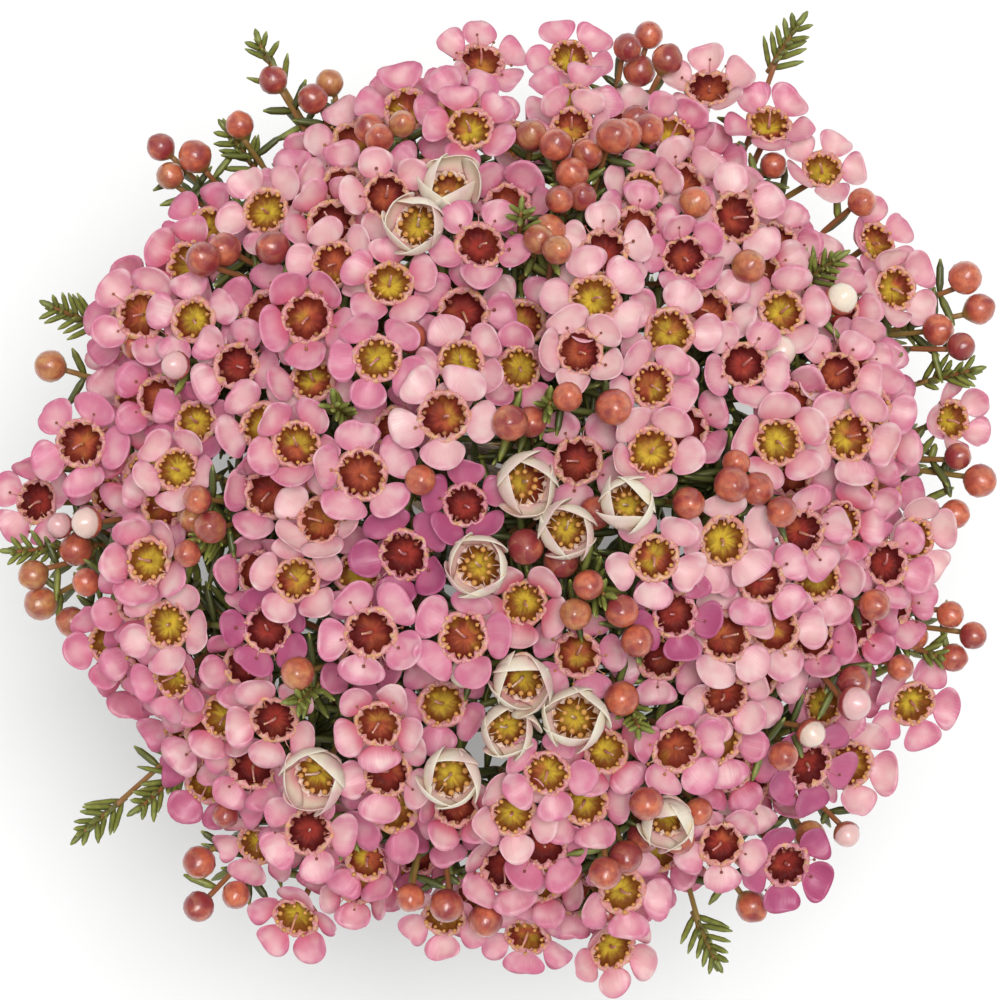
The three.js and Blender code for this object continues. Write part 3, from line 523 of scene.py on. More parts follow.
def disc_push(at, facing, radius, is_flower, p, r):
    """How far flowers push the stalks that run through them sideways, pair by pair."""
    across = p - at[:, None]
    height = np.einsum("nkx,nx->nk", across, facing)
    across = across - height[..., None] * facing[:, None]
    reach = size_of(across)[..., 0]
    over = np.maximum(radius[:, None] + r - reach, 0)
    near = (np.abs(height) <= HALF_DEPTH * radius[:, None] + r) & is_flower[:, None]
    push = across * (near * DISC_SHARE * over / np.maximum(reach, LEAST_REACH))[..., None]
    return push.sum(axis=1)


def keep_in_shell(p):
    scale = np.array([HEAD_RADIUS, HEAD_RADIUS, HEAD_RISE])
    out = size_of((p - HEAD_LEVEL * UP) / scale)
    kept = np.clip(out, 1 - DEEPEST / HEAD_RISE, OUTERMOST) / out
    return HEAD_LEVEL * UP + (p - HEAD_LEVEL * UP) * kept


def settle(members):
    """Pushes members that overlap apart, a little at a time, and keeps the flowers in the shell."""
    at = np.array([m.at for m in members])
    facing = np.array([m.facing for m in members])
    radius = np.array([m.radius for m in members])
    hub_at = np.array([m.hub.at for m in members])
    ease = np.array([[m.ease] for m in members])
    is_flower = np.array([m.kind == "flower" for m in members])
    drop = np.array([[foot_drop(m)] for m in members])
    balls = np.array([body_balls(m) for m in members])
    shares = np.array(STALK_BALLS)
    tops = np.array([[stalk_top(m)] for m in members])
    stalk_r = STALK_ROOM + tops + (STALK_RADIUS - tops) * shares
    body_r = balls[:, :, 3]
    for _ in range(SETTLE_STEPS):
        foot = at - drop * facing
        fall = -fan_direction(at) * ELBOW_SHARE * size_of(foot - hub_at)
        stalks = foot[:, None] + fall[:, None] * shares[:, None]
        bodies = at[:, None] + balls[:, :, :3]
        i, j = np.nonzero(np.triu(size_of(at[:, None] - at[None])[..., 0] <= NEIGHBOURS, 1))
        push = ball_push(bodies[i], body_r[i], bodies[j], body_r[j])
        push += ball_push(stalks[i], stalk_r[i], bodies[j], body_r[j])
        push += ball_push(bodies[i], body_r[i], stalks[j], stalk_r[j])
        push += disc_push(at[j], facing[j], radius[j], is_flower[j], stalks[i], stalk_r[i])
        push -= disc_push(at[i], facing[i], radius[i], is_flower[i], stalks[j], stalk_r[j])
        total = np.zeros_like(at)
        np.add.at(total, i, push)
        np.add.at(total, j, -push)
        move = total * STEP_SHARE * ease
        far = np.maximum(size_of(move), 1e-12)
        at = at + move / far * np.minimum(far, LONGEST_STEP)
        at[is_flower] = keep_in_shell(at[is_flower])
    for member, place in zip(members, at):
        member.at = place


def centre_hubs(hubs, members):
    """Moves each hub under the middle of the members nearest to it."""
    for _ in range(HUB_ROUNDS):
        middles = np.array([hub.at + HUB_REACH * hub.axis for hub in hubs])
        for member in members:
            member.hub = hubs[int(np.argmin(size_of(middles - member.at)[:, 0]))]
        for hub in hubs:
            own = [member.at for member in members if member.hub is hub]
            hub.axis, hub.at = aim_hub(np.mean(own, axis=0))


def spread_stalks(hub):
    """Sets the ways stalks leave a knob: towards their members, but spread clear of each other."""
    away = -hub.axis
    leave = [unit(elbow_of(m) - hub.at) for m in hub.members]
    for _ in range(SPREAD_STEPS):
        for i, own in enumerate(leave):
            for other in [away, *leave]:
                angle = math.acos(np.clip(own @ other, -1, 1))
                if other is not own and angle < STALKS_APART:
                    own -= 0.5 * (STALKS_APART - angle) * other
                    own /= size_of(own)
    for member, way in zip(hub.members, leave):
        member.leaves = way


def lay_out():
    """The sprays' hubs, with their flowers, buds and shoot tips settled."""
    draws = Draws()
    hubs = place_hubs()
    members = place_flowers(draws) + place_buds(draws) + place_tips(draws)
    centre_hubs(hubs, members)
    settle(members)
    for member in members:
        member.hub.members.append(member)
    for hub in hubs:
        spread_stalks(hub)
    return hubs


# ---- Stems --------


@dataclass
class Branch:
    """A branch: the points and radii of its line, and whether it is its stem's own line, which starts
    with the stem's straight run.
    """

    points: np.ndarray
    radii: np.ndarray
    leader: bool


def bezier(points, t):
    a, b, c, d = points
    s = 1 - t
    return s**3 * a + 3 * s * s * t * b + 3 * s * t * t * c + t**3 * d


def sheaf_point(ring, angle, height):
    """A point of a stem's straight run. The runs of a ring lie on a twisted sheaf round the axis."""
    x, y = ring.waist, ring.lean * (height - WAIST_LEVEL)
    cos, sin = math.cos(angle), math.sin(angle)
    return np.array([x * cos - y * sin, x * sin + y * cos, height])


def branch_curve(start, direction, hub):
    end = hub.at - (KNOB_RADIUS + GAP) * hub.axis
    reach = size_of(start - end)
    return start, start + BEND[0] * reach * direction, end - BEND[1] * reach * hub.axis, end


def stem_branches(ring, angle, group):
    """A stem's branches. Its own line ends in its topmost spray, and the others leave that line."""
    fork = sheaf_point(ring, angle, ring.fork)
    leader = branch_curve(fork, unit(fork - sheaf_point(ring, angle, WAIST_LEVEL)), group[-1])
    shares = np.linspace(0, 1, CURVE_STEPS)
    below = np.linspace(0, WAIST_LEVEL, RUN_STEPS[0])
    above = np.linspace(WAIST_LEVEL, ring.fork, RUN_STEPS[1])
    heights = np.concatenate([below, above[1:-1]])
    run = np.array([sheaf_point(ring, angle, z) for z in heights])
    levels = [0, WAIST_LEVEL, ring.fork]
    run_radii = np.interp(heights, levels, [CUT_RADIUS, WAIST_RADIUS, FORK_RADIUS])
    curve = np.array([bezier(leader, t) for t in shares])
    radii = FORK_RADIUS + (TIP_RADIUS - FORK_RADIUS) * shares
    branches = [Branch(np.vstack([run, curve]), np.concatenate([run_radii, radii]), True)]
    for i, hub in enumerate(group[:-1]):
        t = FIRST_FORK + FORKS_APART * i
        along = unit(bezier(leader, t + 1e-4) - bezier(leader, t - 1e-4))
        side = branch_curve(bezier(leader, t), along, hub)
        points = np.array([bezier(side, s) for s in shares])
        radii = SIDE_RADIUS + (TIP_RADIUS - SIDE_RADIUS) * shares
        branches.append(Branch(points, radii, False))
    return branches


def place_stems(hubs):
    stems = []
    first = 0
    for ring in RINGS:
        own = hubs[first : first + ring.sprays]
        own = sorted(own, key=lambda hub: math.atan2(hub.at[1], hub.at[0]) % TURN)
        first += ring.sprays
        each = ring.sprays // ring.stems
        for k in range(ring.stems):
            angle = (k + 0.5) / ring.stems * TURN - ring.lag
            group = sorted(own[k * each : (k + 1) * each], key=lambda hub: hub.at[2])
            stems.append(stem_branches(ring, angle, group))
    return stems


# ---- Mesh tools --------


def coordinates(mesh):
    co = np.empty(len(mesh.vertices) * 3)
    mesh.vertices.foreach_get("co", co)
    return co.reshape(-1, 3)


def set_coordinates(mesh, co):
    mesh.vertices.foreach_set("co", np.ascontiguousarray(co).ravel())


def get_mark(mesh, name):
    values = np.empty(len(mesh.vertices))
    mesh.attributes[name].data.foreach_get("value", values)
    return values


def set_mark(mesh, name, values):
    """Writes a mark, a number for each vertex that the materials read."""
    values = np.broadcast_to(np.asarray(values, dtype=np.float32), len(mesh.vertices))
    mesh.attributes[name].data.foreach_set("value", np.ascontiguousarray(values))


def finish_mesh(bm, name, material):
    """A smooth mesh of one material from a bmesh, with every mark."""
    bmesh.ops.recalc_face_normals(bm, faces=bm.faces)
    for face in bm.faces:
        face.smooth = True
        face.material_index = PALETTE.index(material)
    mesh = bpy.data.meshes.new(name)
    bm.to_mesh(mesh)
    bm.free()
    for mark in MARKS:
        mesh.attributes.new(mark, "FLOAT", "POINT")
    return mesh


def placing(at, axis, side, size=1.0):
    """A matrix that puts Z along axis and X along side, at a place. Size may differ by direction."""
    size = np.broadcast_to(size, 3)
    other = np.cross(axis, side)
    columns = np.column_stack([side * size[0], other * size[1], axis * size[2], at])
    return Matrix([*columns.tolist(), (0, 0, 0, 1)])


STRAIGHT_TUBES = {}


def straight_tube(sides, rings):
    """A closed tube of unit radius, with evenly spaced rings from z = 0 to z = 1."""
    if (sides, rings) not in STRAIGHT_TUBES:
        bm = bmesh.new()
        bmesh.ops.create_cone(bm, cap_ends=True, segments=sides, radius1=1, radius2=1, depth=1)
        bmesh.ops.translate(bm, vec=(0, 0, 0.5), verts=bm.verts)
        upright = [e for e in bm.edges if abs(e.verts[0].co.z - e.verts[1].co.z) > 0.5]
        bmesh.ops.subdivide_edges(bm, edges=upright, cuts=rings - 2, use_grid_fill=True)
        STRAIGHT_TUBES[sides, rings] = finish_mesh(bm, "straight_tube", "twig")
    return STRAIGHT_TUBES[sides, rings]


def frames_along(points):
    """The tangents of a line of points, and two normals to each that turn as little as they can."""
    tangents = unit(np.gradient(points, axis=0))
    side = across_from(tangents[0])[0]
    sides = []
    for tangent in tangents:
        side = unit(side - (side @ tangent) * tangent)
        sides.append(side)
    return tangents, np.array(sides), np.cross(tangents, sides)


def bent_tube(points, radii, sides, material, lumps=0.0, rng=None):
    """A tube through points. Its marks run along it from 0 to 1. Lumps vary its radius."""
    mesh = straight_tube(sides, len(points)).copy()
    co = coordinates(mesh)
    ring = np.rint(co[:, 2] * (len(points) - 1)).astype(int)
    _, side, other = frames_along(points)
    swell = np.asarray(radii, dtype=float)[ring]
    if lumps:
        swell = swell * (1 + lumps * rng.uniform(-1, 1, len(co)))
    out = co[:, :1] * side[ring] + co[:, 1:2] * other[ring]
    set_coordinates(mesh, points[ring] + out * swell[:, None])
    set_mark(mesh, "along", co[:, 2])
    set_mark(mesh, "across", np.arctan2(co[:, 1], co[:, 0]) / math.pi)
    mesh.polygons.foreach_set("material_index", [PALETTE.index(material)] * len(mesh.polygons))
    return mesh


class Piece:
    """A piece under construction: copies of meshes in place, in millimetres from the bunch's axis."""

    def __init__(self):
        self.bm = bmesh.new()

    def add(self, mesh, matrix=None, keep=False, **marks):
        """Adds a mesh, or with keep a copy of it, placed by a matrix and with marks of its own."""
        own = mesh.copy() if keep else mesh
        if matrix is not None:
            own.transform(matrix)
        for name, value in marks.items():
            set_mark(own, name, value)
        self.bm.from_mesh(own)
        bpy.data.meshes.remove(own)

    def finish(self, name, node, slot, materials):
        """Makes the object that stands for a CAD node."""
        shift = Matrix.Translation((AXIS.x, AXIS.y, 0)) @ Matrix.Scale(MM, 4)
        self.bm.transform(shift)
        mesh = bpy.data.meshes.new(name)
        self.bm.to_mesh(mesh)
        self.bm.free()
        for material in materials:
            mesh.materials.append(material)
        piece = bpy.data.objects.new(name, mesh)
        bpy.context.scene.collection.objects.link(piece)
        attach(piece, "root")
        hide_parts(node)
        return piece


# ---- Flowers --------

# Lengths are shares of the flower's radius.
CLAW, REACH = 0.42, 1.06  # where a petal starts and ends
RIM = 0.43  # where the stamens stand
FRILL_START, TEETH_END = 0.26, 0.49  # from the axis outwards
FRILL_FLOOR = -0.14  # below it nothing is crumpled
SOFT_EDGE = 0.1  # over which the crumpling and the teeth fade
TOOTH = (0.10, 0.30)  # how far each tooth of the frill reaches in
CROWDED_TONE = 0.12  # how much pinker the flowers are that fill in
DRIFT_OF_TONE = -0.0011  # how a flower's pink changes with each millimetre to the right or the back
AGES = {"gold": (0, 0.42), "dark": (0.55, 1), "cream": (0, 0.3)}  # of a cup, by its flower's look
OLD = 0.5  # the age from which a flower's stamens wither
WITHERED_SHARE = 0.6


@dataclass
class StamenRule:
    """How stamens vary: their lean inwards (below 0) or outwards, their reach and their anthers."""

    lean: tuple
    reach: tuple
    anther: tuple


FRESH = StamenRule(lean=(-1.3, -0.2), reach=(0.06, 0.14), anther=(0.04, 0.058))
STAMENS = {
    "young": FRESH,
    "old": FRESH,
    "withered": StamenRule(lean=(0.7, 1.3), reach=(0.14, 0.30), anther=(0.03, 0.042)),
    "cream": StamenRule(lean=(-1.5, -0.9), reach=(0.08, 0.24), anther=(0.055, 0.07)),
}


@dataclass
class PetalRule:
    """How a flower's petals vary. Each is a number, or a range that is drawn from."""

    width: tuple | float
    spoon: tuple | float
    curl: tuple
    ripple: tuple | float
    thickness: float
    droop: float
    roll: tuple | float


OPEN_PETALS = PetalRule(
    width=(0.92, 1.1),
    spoon=(0.6, 1.7),
    curl=(-0.10, 0.14),
    ripple=(0.008, 0.035),
    thickness=1,
    droop=0,
    roll=(-0.18, 0.18),
)
HALF_OPEN_PETALS = PetalRule(
    width=1.25,
    spoon=1.8,
    curl=(0.22, 0.32),
    ripple=0.008,
    thickness=1.2,
    droop=0.12,
    roll=math.radians(5),
)


def petal_blank(cells):
    """A flat, round blank of a petal, one unit thick. Its marks run to its tip and to its edge."""
    bm = bmesh.new()
    bmesh.ops.create_grid(bm, x_segments=cells, y_segments=cells, size=1)
    for v in bm.verts:
        x, y = v.co.x, v.co.y
        v.co.x = x * math.sqrt(1 - y * y / 2)
        v.co.y = y * math.sqrt(1 - x * x / 2)
    bmesh.ops.solidify(bm, geom=bm.faces[:], thickness=1)
    mesh = finish_mesh(bm, "petal_blank", "petal")
    co = coordinates(mesh)
    set_mark(mesh, "along", (co[:, 1] + 1) / 2)
    set_mark(mesh, "across", co[:, 0])
    set_mark(mesh, "edge", np.hypot(co[:, 0], co[:, 1]))
    return mesh


@dataclass
class PetalShape:
    """How one petal differs from a flat round one. Lengths are shares of the flower's radius."""

    width: float
    spoon: float
    curl: float
    ripple: float
    phase: float
    skew: float
    notch: float
    thickness: float


def shape_petal(blank, shape, radius):
    """A petal in its own frame: X is sideways, Y runs outwards and Z is the upper side."""
    mesh = blank.copy()
    co = coordinates(blank)
    across, along, edge = co[:, 0], (co[:, 1] + 1) / 2, np.hypot(co[:, 0], co[:, 1])
    turn = np.arctan2(co[:, 0], co[:, 1])
    neck = 1 - 0.25 * (1 - along) ** 3
    # The outline swells and dips a little, with a notch in some petals.
    lobes = 0.06 * np.cos(2 * turn + shape.phase) + 0.035 * np.cos(3 * turn - 2 * shape.phase)
    lobes -= shape.notch * np.exp(-((turn - 0.6 * math.sin(shape.phase)) ** 2) / 0.05)
    out = 1 + lobes * edge**2
    # The petal is hollow like a spoon, curls at its tip and ripples at its edge, where it is thinner.
    hollow = shape.spoon * (1.2 * across**2 + 0.9 * (along - 0.35) ** 2 - 0.11)
    wave = shape.ripple * np.sin(3 * turn + shape.phase) * edge**3
    thin = shape.thickness * (1 - 0.55 * edge**3)
    z = radius * (hollow + shape.curl * along**3 + wave) + thin * (co[:, 2] - co[:, 2].mean())
    x = radius * (shape.width * across * neck * out + shape.skew * along**2)
    y = radius * (REACH - CLAW) * along * (1 + lobes * along)
    set_coordinates(mesh, np.column_stack([x, y, z]))
    return mesh


def lathe(profile, steps):
    """A closed lathe of a profile of (radius, height, material), whose ends lie on the axis."""
    bm = bmesh.new()
    chain = [bm.verts.new((r, 0, z)) for r, z, _ in profile]
    edges = [bm.edges.new(pair) for pair in zip(chain, chain[1:])]
    bmesh.ops.spin(
        bm, geom=chain + edges, cent=(0, 0, 0), axis=(0, 0, 1), angle=TURN, steps=steps, use_merge=True
    )
    bmesh.ops.remove_doubles(bm, verts=bm.verts, dist=1e-5)
    return finish_mesh(bm, "lathe", profile[0][2])


# The outline of a cup, its frill and its bell, from the cup's floor round to the stalk, as shares of the
# flower's radius.
CUP_PROFILE = (
    (0.0, -0.125, "cup"),
    (0.07, -0.14, "cup"),
    (0.15, -0.145, "cup"),
    (0.24, -0.14, "cup"),
    (0.315, -0.115, "cup"),
    (0.365, -0.06, "cup"),
    (0.39, 0.0, "frill"),
    (0.41, 0.045, "frill"),
    (0.445, 0.066, "frill"),
    (0.49, 0.052, "frill"),
    (0.525, 0.012, "frill"),
    (0.51, -0.045, "bell"),
    (0.45, -0.12, "bell"),
    (0.34, -0.21, "bell"),
    (0.22, -0.28, "bell"),
    (0.13, -0.36, "bell"),
    (0.085, -0.46, "bell"),
    (0.0, -0.48, "bell"),
)


def cup_mesh(rng, steps):
    """A flower's cup, frill and bell in one lathed body. Units are the flower's radius."""
    mesh = lathe(CUP_PROFILE, steps)
    co = coordinates(mesh)
    profile = np.array([(r, z) for r, z, _ in CUP_PROFILE])
    middles = (profile[:-1] + profile[1:]) / 2
    segment = []
    for polygon in mesh.polygons:
        spot = np.mean(co[list(polygon.vertices)], axis=0)
        nearest = np.argmin(size_of(middles - (math.hypot(spot[0], spot[1]), spot[2]))[:, 0])
        segment.append(PALETTE.index(CUP_PROFILE[nearest][2]))
    mesh.polygons.foreach_set("material_index", segment)
    reach = np.hypot(co[:, 0], co[:, 1])
    turn = np.arctan2(co[:, 1], co[:, 0])
    set_mark(mesh, "edge", reach / 0.4)
    set_mark(mesh, "across", np.cos(turn))
    set_mark(mesh, "along", np.sin(turn))
    # The rim is crumpled, and its inner side has a tooth between every two stamens.
    rim = np.clip((reach - FRILL_START) / SOFT_EDGE, 0, 1)
    rim = rim * np.clip((co[:, 2] - FRILL_FLOOR) / SOFT_EDGE, 0, 1)
    sector = np.floor(turn / TURN * 2 * PETALS - 1e-6).astype(int)
    tooth = rng.uniform(*TOOTH, 2 * PETALS)[sector]
    lobes = tooth * (np.abs(np.cos(PETALS * turn)) ** 0.6 - 0.6)
    inner = np.clip((TEETH_END - reach) / SOFT_EDGE, 0, 1)
    phase = rng.uniform(0, TURN, 2)
    wander = 0.035 * np.cos(PETALS * turn + phase[0]) + 0.03 * np.cos(2 * turn + phase[1])
    crumple = rng.uniform(-1, 1, (2, len(co)))
    swell = 1 + rim * (lobes * inner + wander + 0.03 * crumple[0])
    co[:, :2] *= swell[:, None]
    co[:, 2] += rim * (0.028 * crumple[1] + 0.015 * np.cos(PETALS * turn))
    set_coordinates(mesh, co)
    return mesh


def bead(radius, at, material):
    """A small round bead."""
    bm = bmesh.new()
    bmesh.ops.create_icosphere(bm, subdivisions=1, radius=radius, matrix=Matrix.Translation(at))
    return finish_mesh(bm, "bead", material)


def thread(lean, turn, reach):
    """A thread that rises from the frill and leans inwards (below 0) or outwards."""
    steps = np.linspace(0, 1, 4)
    out = RIM + reach * np.sin(lean * steps**0.7) * steps
    height = 0.02 + reach * np.cos(lean * steps**0.9) * steps
    points = np.column_stack([out * math.cos(turn), out * math.sin(turn), height])
    radii = 0.02 * np.array([1.0, 0.85, 0.6, 0.35])
    return bent_tube(points, radii, 3, "frill")


def heart_mesh(rng, steps, look):
    """What is in the middle of a flower: cup, frill, stamens and style. Units are its radius."""
    piece = bmesh.new()

    def put(mesh):
        piece.from_mesh(mesh)
        bpy.data.meshes.remove(mesh)

    put(cup_mesh(rng, steps))
    count = 2 * PETALS
    for k in range(count):
        turn = (k + 0.5) * TURN / count + rng.uniform(-0.1, 0.1)
        lump = rng.uniform(0.035, 0.06)
        out = rng.uniform(0.40, 0.49)
        put(bead(lump, (out * math.cos(turn), out * math.sin(turn), 0.05), "frill"))
        turn = k * TURN / count + rng.uniform(-0.12, 0.12)
        size = rng.uniform(*STAMENS["withered"].anther)
        withered = look == "old" and rng.random() < WITHERED_SHARE
        rule = STAMENS["withered" if withered else look]
        lean, reach = rng.uniform(*rule.lean), rng.uniform(*rule.reach)
        if not withered:
            size = rng.uniform(*rule.anther)
        put(thread(lean, turn, reach))
        out = RIM + reach * math.sin(lean)
        height = 0.03 + reach * math.cos(lean)
        put(bead(size, (out * math.cos(turn), out * math.sin(turn), height), "anther"))
    lean = rng.uniform(-0.16, 0.16, 2)
    up = np.linspace(0, 1, 5)
    height = rng.uniform(0.36, 0.5)
    style = np.column_stack([lean[0] * up**2, lean[1] * up**2, -0.13 + height * up])
    put(bent_tube(style, np.linspace(0.04, 0.016, 5), 6, "frill"))
    put(bead(0.028, tuple(style[-1]), "frill"))
    mesh = bpy.data.meshes.new("heart")
    piece.to_mesh(mesh)
    piece.free()
    return mesh


@dataclass
class FlowerKit:
    """What flowers are put together from, at one level of detail."""

    blank: bpy.types.Mesh
    hearts: dict


def flower_kit(rng, cells, steps, variants):
    looks = ("young", "old", "cream")
    hearts = {look: [heart_mesh(rng, steps, look) for _ in range(variants)] for look in looks}
    return FlowerKit(petal_blank(cells), hearts)


def petal_pose(member, angle, lift, roll):
    """The matrix that hangs a petal on its flower's rim."""
    side, _ = across_from(member.facing, member.spin)
    flower = placing(member.at, member.facing, side)
    hinge = Matrix.Translation((CLAW * member.radius, 0, 0)) @ Matrix.Rotation(-math.pi / 2, 4, "Z")
    tilt = Matrix.Rotation(lift, 4, "X") @ Matrix.Rotation(roll, 4, "Y")
    return flower @ Matrix.Rotation(angle, 4, "Z") @ hinge @ tilt


def flower_marks(member, rng):
    """How strongly a flower is coloured, how old its cup is, and how creamy it is."""
    x, y, _ = member.at
    tone = rng.uniform(0, 0.6) + DRIFT_OF_TONE * (x + y)
    if member.look == "filling":
        tone += CROWDED_TONE
    age = rng.uniform(0, 1) ** 0.7
    if member.look in AGES:
        age = rng.uniform(*AGES[member.look])
    if member.place in MAGENTA_FLOWERS:
        tone = age = 1.0
    return {"tone": min(max(tone, 0), 1), "age": age, "cream": float(member.look == "cream")}


def vary(rng, value):
    """A draw from a range, or the value itself where it is a number."""
    return rng.uniform(*value) if isinstance(value, tuple) else value


def add_flower(piece, member, kit, settings, rng):
    marks = flower_marks(member, rng)
    half_open = member.look == "cream"
    rule = HALF_OPEN_PETALS if half_open else OPEN_PETALS
    blush = rng.uniform(0, 1) ** 2
    for k in range(PETALS):
        shape = PetalShape(
            width=settings.petal_width * vary(rng, rule.width),
            spoon=settings.petal_spoon * vary(rng, rule.spoon),
            curl=vary(rng, rule.curl),
            ripple=vary(rng, rule.ripple),
            phase=rng.uniform(0, TURN),
            skew=rng.uniform(-0.05, 0.05),
            notch=max(rng.uniform(-0.08, 0.08), 0),
            thickness=settings.petal_thickness / MM * rule.thickness,
        )
        angle = (k + 0.5) * TURN / PETALS + rng.uniform(-0.05, 0.05)
        lift = member.lift + rng.uniform(-0.16, 0.16) - rule.droop
        petal = shape_petal(kit.blank, shape, member.radius)
        pose = petal_pose(member, angle, lift, vary(rng, rule.roll))
        own = {"age": blush, "tone": marks["tone"] * rng.uniform(0.8, 1.1)}
        piece.add(petal, pose, **(marks | own))
    side, _ = across_from(member.facing, member.spin)
    look = "cream" if half_open else "old" if marks["age"] > OLD else "young"
    heart = kit.hearts[look][int(rng.integers(len(kit.hearts[look])))]
    piece.add(heart, placing(member.at, member.facing, side, member.radius), keep=True, **marks)


# ---- Buds, leaves and stalks --------

PETAL_ROOM = 0.5  # how far leaves stay from petals
BELL_DROP, BELL_ROOM = 0.2, 0.35  # the ball round a bell that leaves stay out of, as shares
BUD_ROOM = 1.05
CAP_LEVEL, CAP_SIZE = 0.1, 1.07  # where the petals that a bud shows end, and how far they stand out
LEAF_TRIES = (1, 0.7, 0.45)  # how much of its length a leaf keeps where it has little room
LEAF_FLATNESS = 0.6
LEAF_SPACING = 2.1  # between the pairs on a branch
LEAFY_SHARE = (0.34, 0.64)  # where the leafy part of a branch starts, and how long it is
LINE_STEPS = 12
FINE_STALK = {"flower": 0.75, "bud": 0.62, "tip": 0.6}  # a stalk's radius at its top


def bud_mesh(capped):
    """A bud of unit radius. Its mark runs along it from foot to top."""
    bm = bmesh.new()
    bmesh.ops.create_uvsphere(bm, u_segments=16, v_segments=11, radius=1)
    mesh = finish_mesh(bm, "bud", "bud")
    co = coordinates(mesh)
    z = co[:, 2].copy()
    turn = np.arctan2(co[:, 1], co[:, 0])
    low = np.clip(-z, 0, 1)
    slim = 1 - 0.42 * low**2.5
    lap = 1 + 0.05 * (((turn / TURN + 0.25 * z) * 3) % 1)
    step = np.where((z < CAP_LEVEL) & capped, CAP_SIZE, 1.0)
    co[:, :2] *= (slim * lap * step)[:, None]
    co[:, 2] = z * 1.06 + 0.10 * np.clip(z - 0.86, 0, 1) / 0.14 - 0.12 * low**4
    set_coordinates(mesh, co)
    set_mark(mesh, "along", (z + 1) / 2)
    set_mark(mesh, "across", turn / math.pi)
    return mesh


def leaf_mesh():
    """A needle leaf of unit length and unit half width."""
    steps = np.array([0, 0.3, 0.75, 1])
    points = np.column_stack([0 * steps, 0 * steps, steps])
    return bent_tube(points, np.array([0.5, 1.0, 0.9, 0.25]), 4, "leaf")


class Foliage:
    """Grows needle leaves on twigs, clear of all flowers and buds."""

    def __init__(self, settings, hubs):
        self.leaf = leaf_mesh()
        self.length = settings.leaf_length / MM
        self.width = settings.leaf_width / MM
        blossoms = [member for hub in hubs for member in hub.members if member.kind != "tip"]
        self.at = np.array([m.at for m in blossoms])
        self.facing = np.array([m.facing for m in blossoms])
        self.radius = np.array([m.radius for m in blossoms])
        self.rise = np.array([math.tan(m.lift) for m in blossoms])
        self.is_flower = np.array([m.kind == "flower" for m in blossoms])

    def is_clear(self, root, tip):
        """Whether a leaf would cut through no petal, cup or bud."""
        points = root + np.linspace(0, 1, 6)[:, None] * (tip - root)
        across = points[:, None] - self.at
        height = np.einsum("knx,nx->kn", across, self.facing)
        out = np.sqrt(np.maximum(np.sum(across**2, axis=-1) - height**2, 0))
        over = height - np.maximum(out - CUP * self.radius, 0) * self.rise
        beside = out > self.radius
        touches = (np.abs(over) < PETAL_ROOM) & ~beside
        through = (over[1:] * over[:-1] < 0) & ~(beside[1:] | beside[:-1])
        bell = size_of(across + BELL_DROP * (self.radius[:, None] * self.facing))[..., 0]
        in_bell = (bell < BELL_ROOM * self.radius).any(axis=0)
        cuts_flower = touches.any(axis=0) | through.any(axis=0) | in_bell
        cuts_bud = (size_of(across)[..., 0] < BUD_ROOM * self.radius).any(axis=0)
        return not np.where(self.is_flower, cuts_flower, cuts_bud).any()

    def add_leaf(self, piece, root, way, size, half, tone):
        """Adds a leaf from its root along a way, or a shorter one where that would cut a blossom."""
        for part in LEAF_TRIES:
            grown = part * size
            if self.is_clear(root, root + grown * way):
                side, _ = across_from(way)
                matrix = placing(root, way, side, (half, LEAF_FLATNESS * half, grown))
                piece.add(self.leaf, matrix, keep=True, tone=tone)
                return

    def add_pairs(self, piece, points, stations, rng, slants, youth=0.0):
        """Adds pairs of leaves along a twig, each square to the last. Stations are (share, size)."""
        tangents, sides, others = frames_along(points)
        last = len(points) - 1
        for n, (place, size) in enumerate(stations):
            k = min(int(place * last), last - 1)
            root = points[k] + (place * last - k) * (points[k + 1] - points[k])
            turn = n * TURN / 4 + rng.uniform(-0.3, 0.3)
            out = sides[k] * math.cos(turn) + others[k] * math.sin(turn)
            for way in (out, -out):
                slant = math.radians(rng.uniform(*slants))
                direction = unit(tangents[k] * math.cos(slant) + way * math.sin(slant))
                grown = size * self.length * rng.uniform(0.85, 1.1)
                half = self.width / 2 * rng.uniform(0.85, 1.05) * (1 - 0.25 * youth)
                self.add_leaf(piece, root, direction, grown, half, rng.uniform(youth, 1))


def eased_line(corners, steps):
    """A smooth line through the neighbourhood of a few corners, which keeps its ends."""
    corners = np.array(corners)
    gaps = size_of(np.diff(corners, axis=0))[:, 0]
    place = np.concatenate([[0], np.cumsum(gaps)])
    at = np.linspace(0, place[-1], steps)
    line = np.column_stack([np.interp(at, place, corners[:, k]) for k in range(3)])
    for _ in range(3):
        line[1:-1] = (line[:-2] + 2 * line[1:-1] + line[2:]) / 4
    return line


def stalk_line(member):
    """A member's stalk from its foot to the middle of its knob."""
    hub = member.hub
    foot = foot_of(member)
    elbow = elbow_of(member)
    bend = math.acos(np.clip(fan_direction(member.at) @ unit(foot - hub.at), -1, 1))
    corners = [foot, hub.at + KNOB_RADIUS * member.leaves, hub.at]
    if bend >= LEAST_BEND:
        corners.insert(1, elbow)
    return eased_line(corners, LINE_STEPS)


def add_stalk(piece, member, foliage, rng):
    """Adds a member's stalk, with the small leaves that grow along its lower part."""
    line = stalk_line(member)
    radii = np.linspace(FINE_STALK[member.kind], STALK_RADIUS, len(line))
    radii[-3:] *= (1.1, 1.3, 1.5)  # where the stalk swells into its knob
    piece.add(bent_tube(line, radii, 6, "twig", 0.05, rng), tone=rng.uniform(0, 1))
    first = 0.12 if member.kind == "bud" else 0.34
    steps = (0.92 - first) / 5
    stations = [(first + steps * (n + rng.uniform(0, 0.6)), 0.7 + 0.1 * n) for n in range(6)]
    foliage.add_pairs(piece, line, stations, rng, slants=(92, 135))


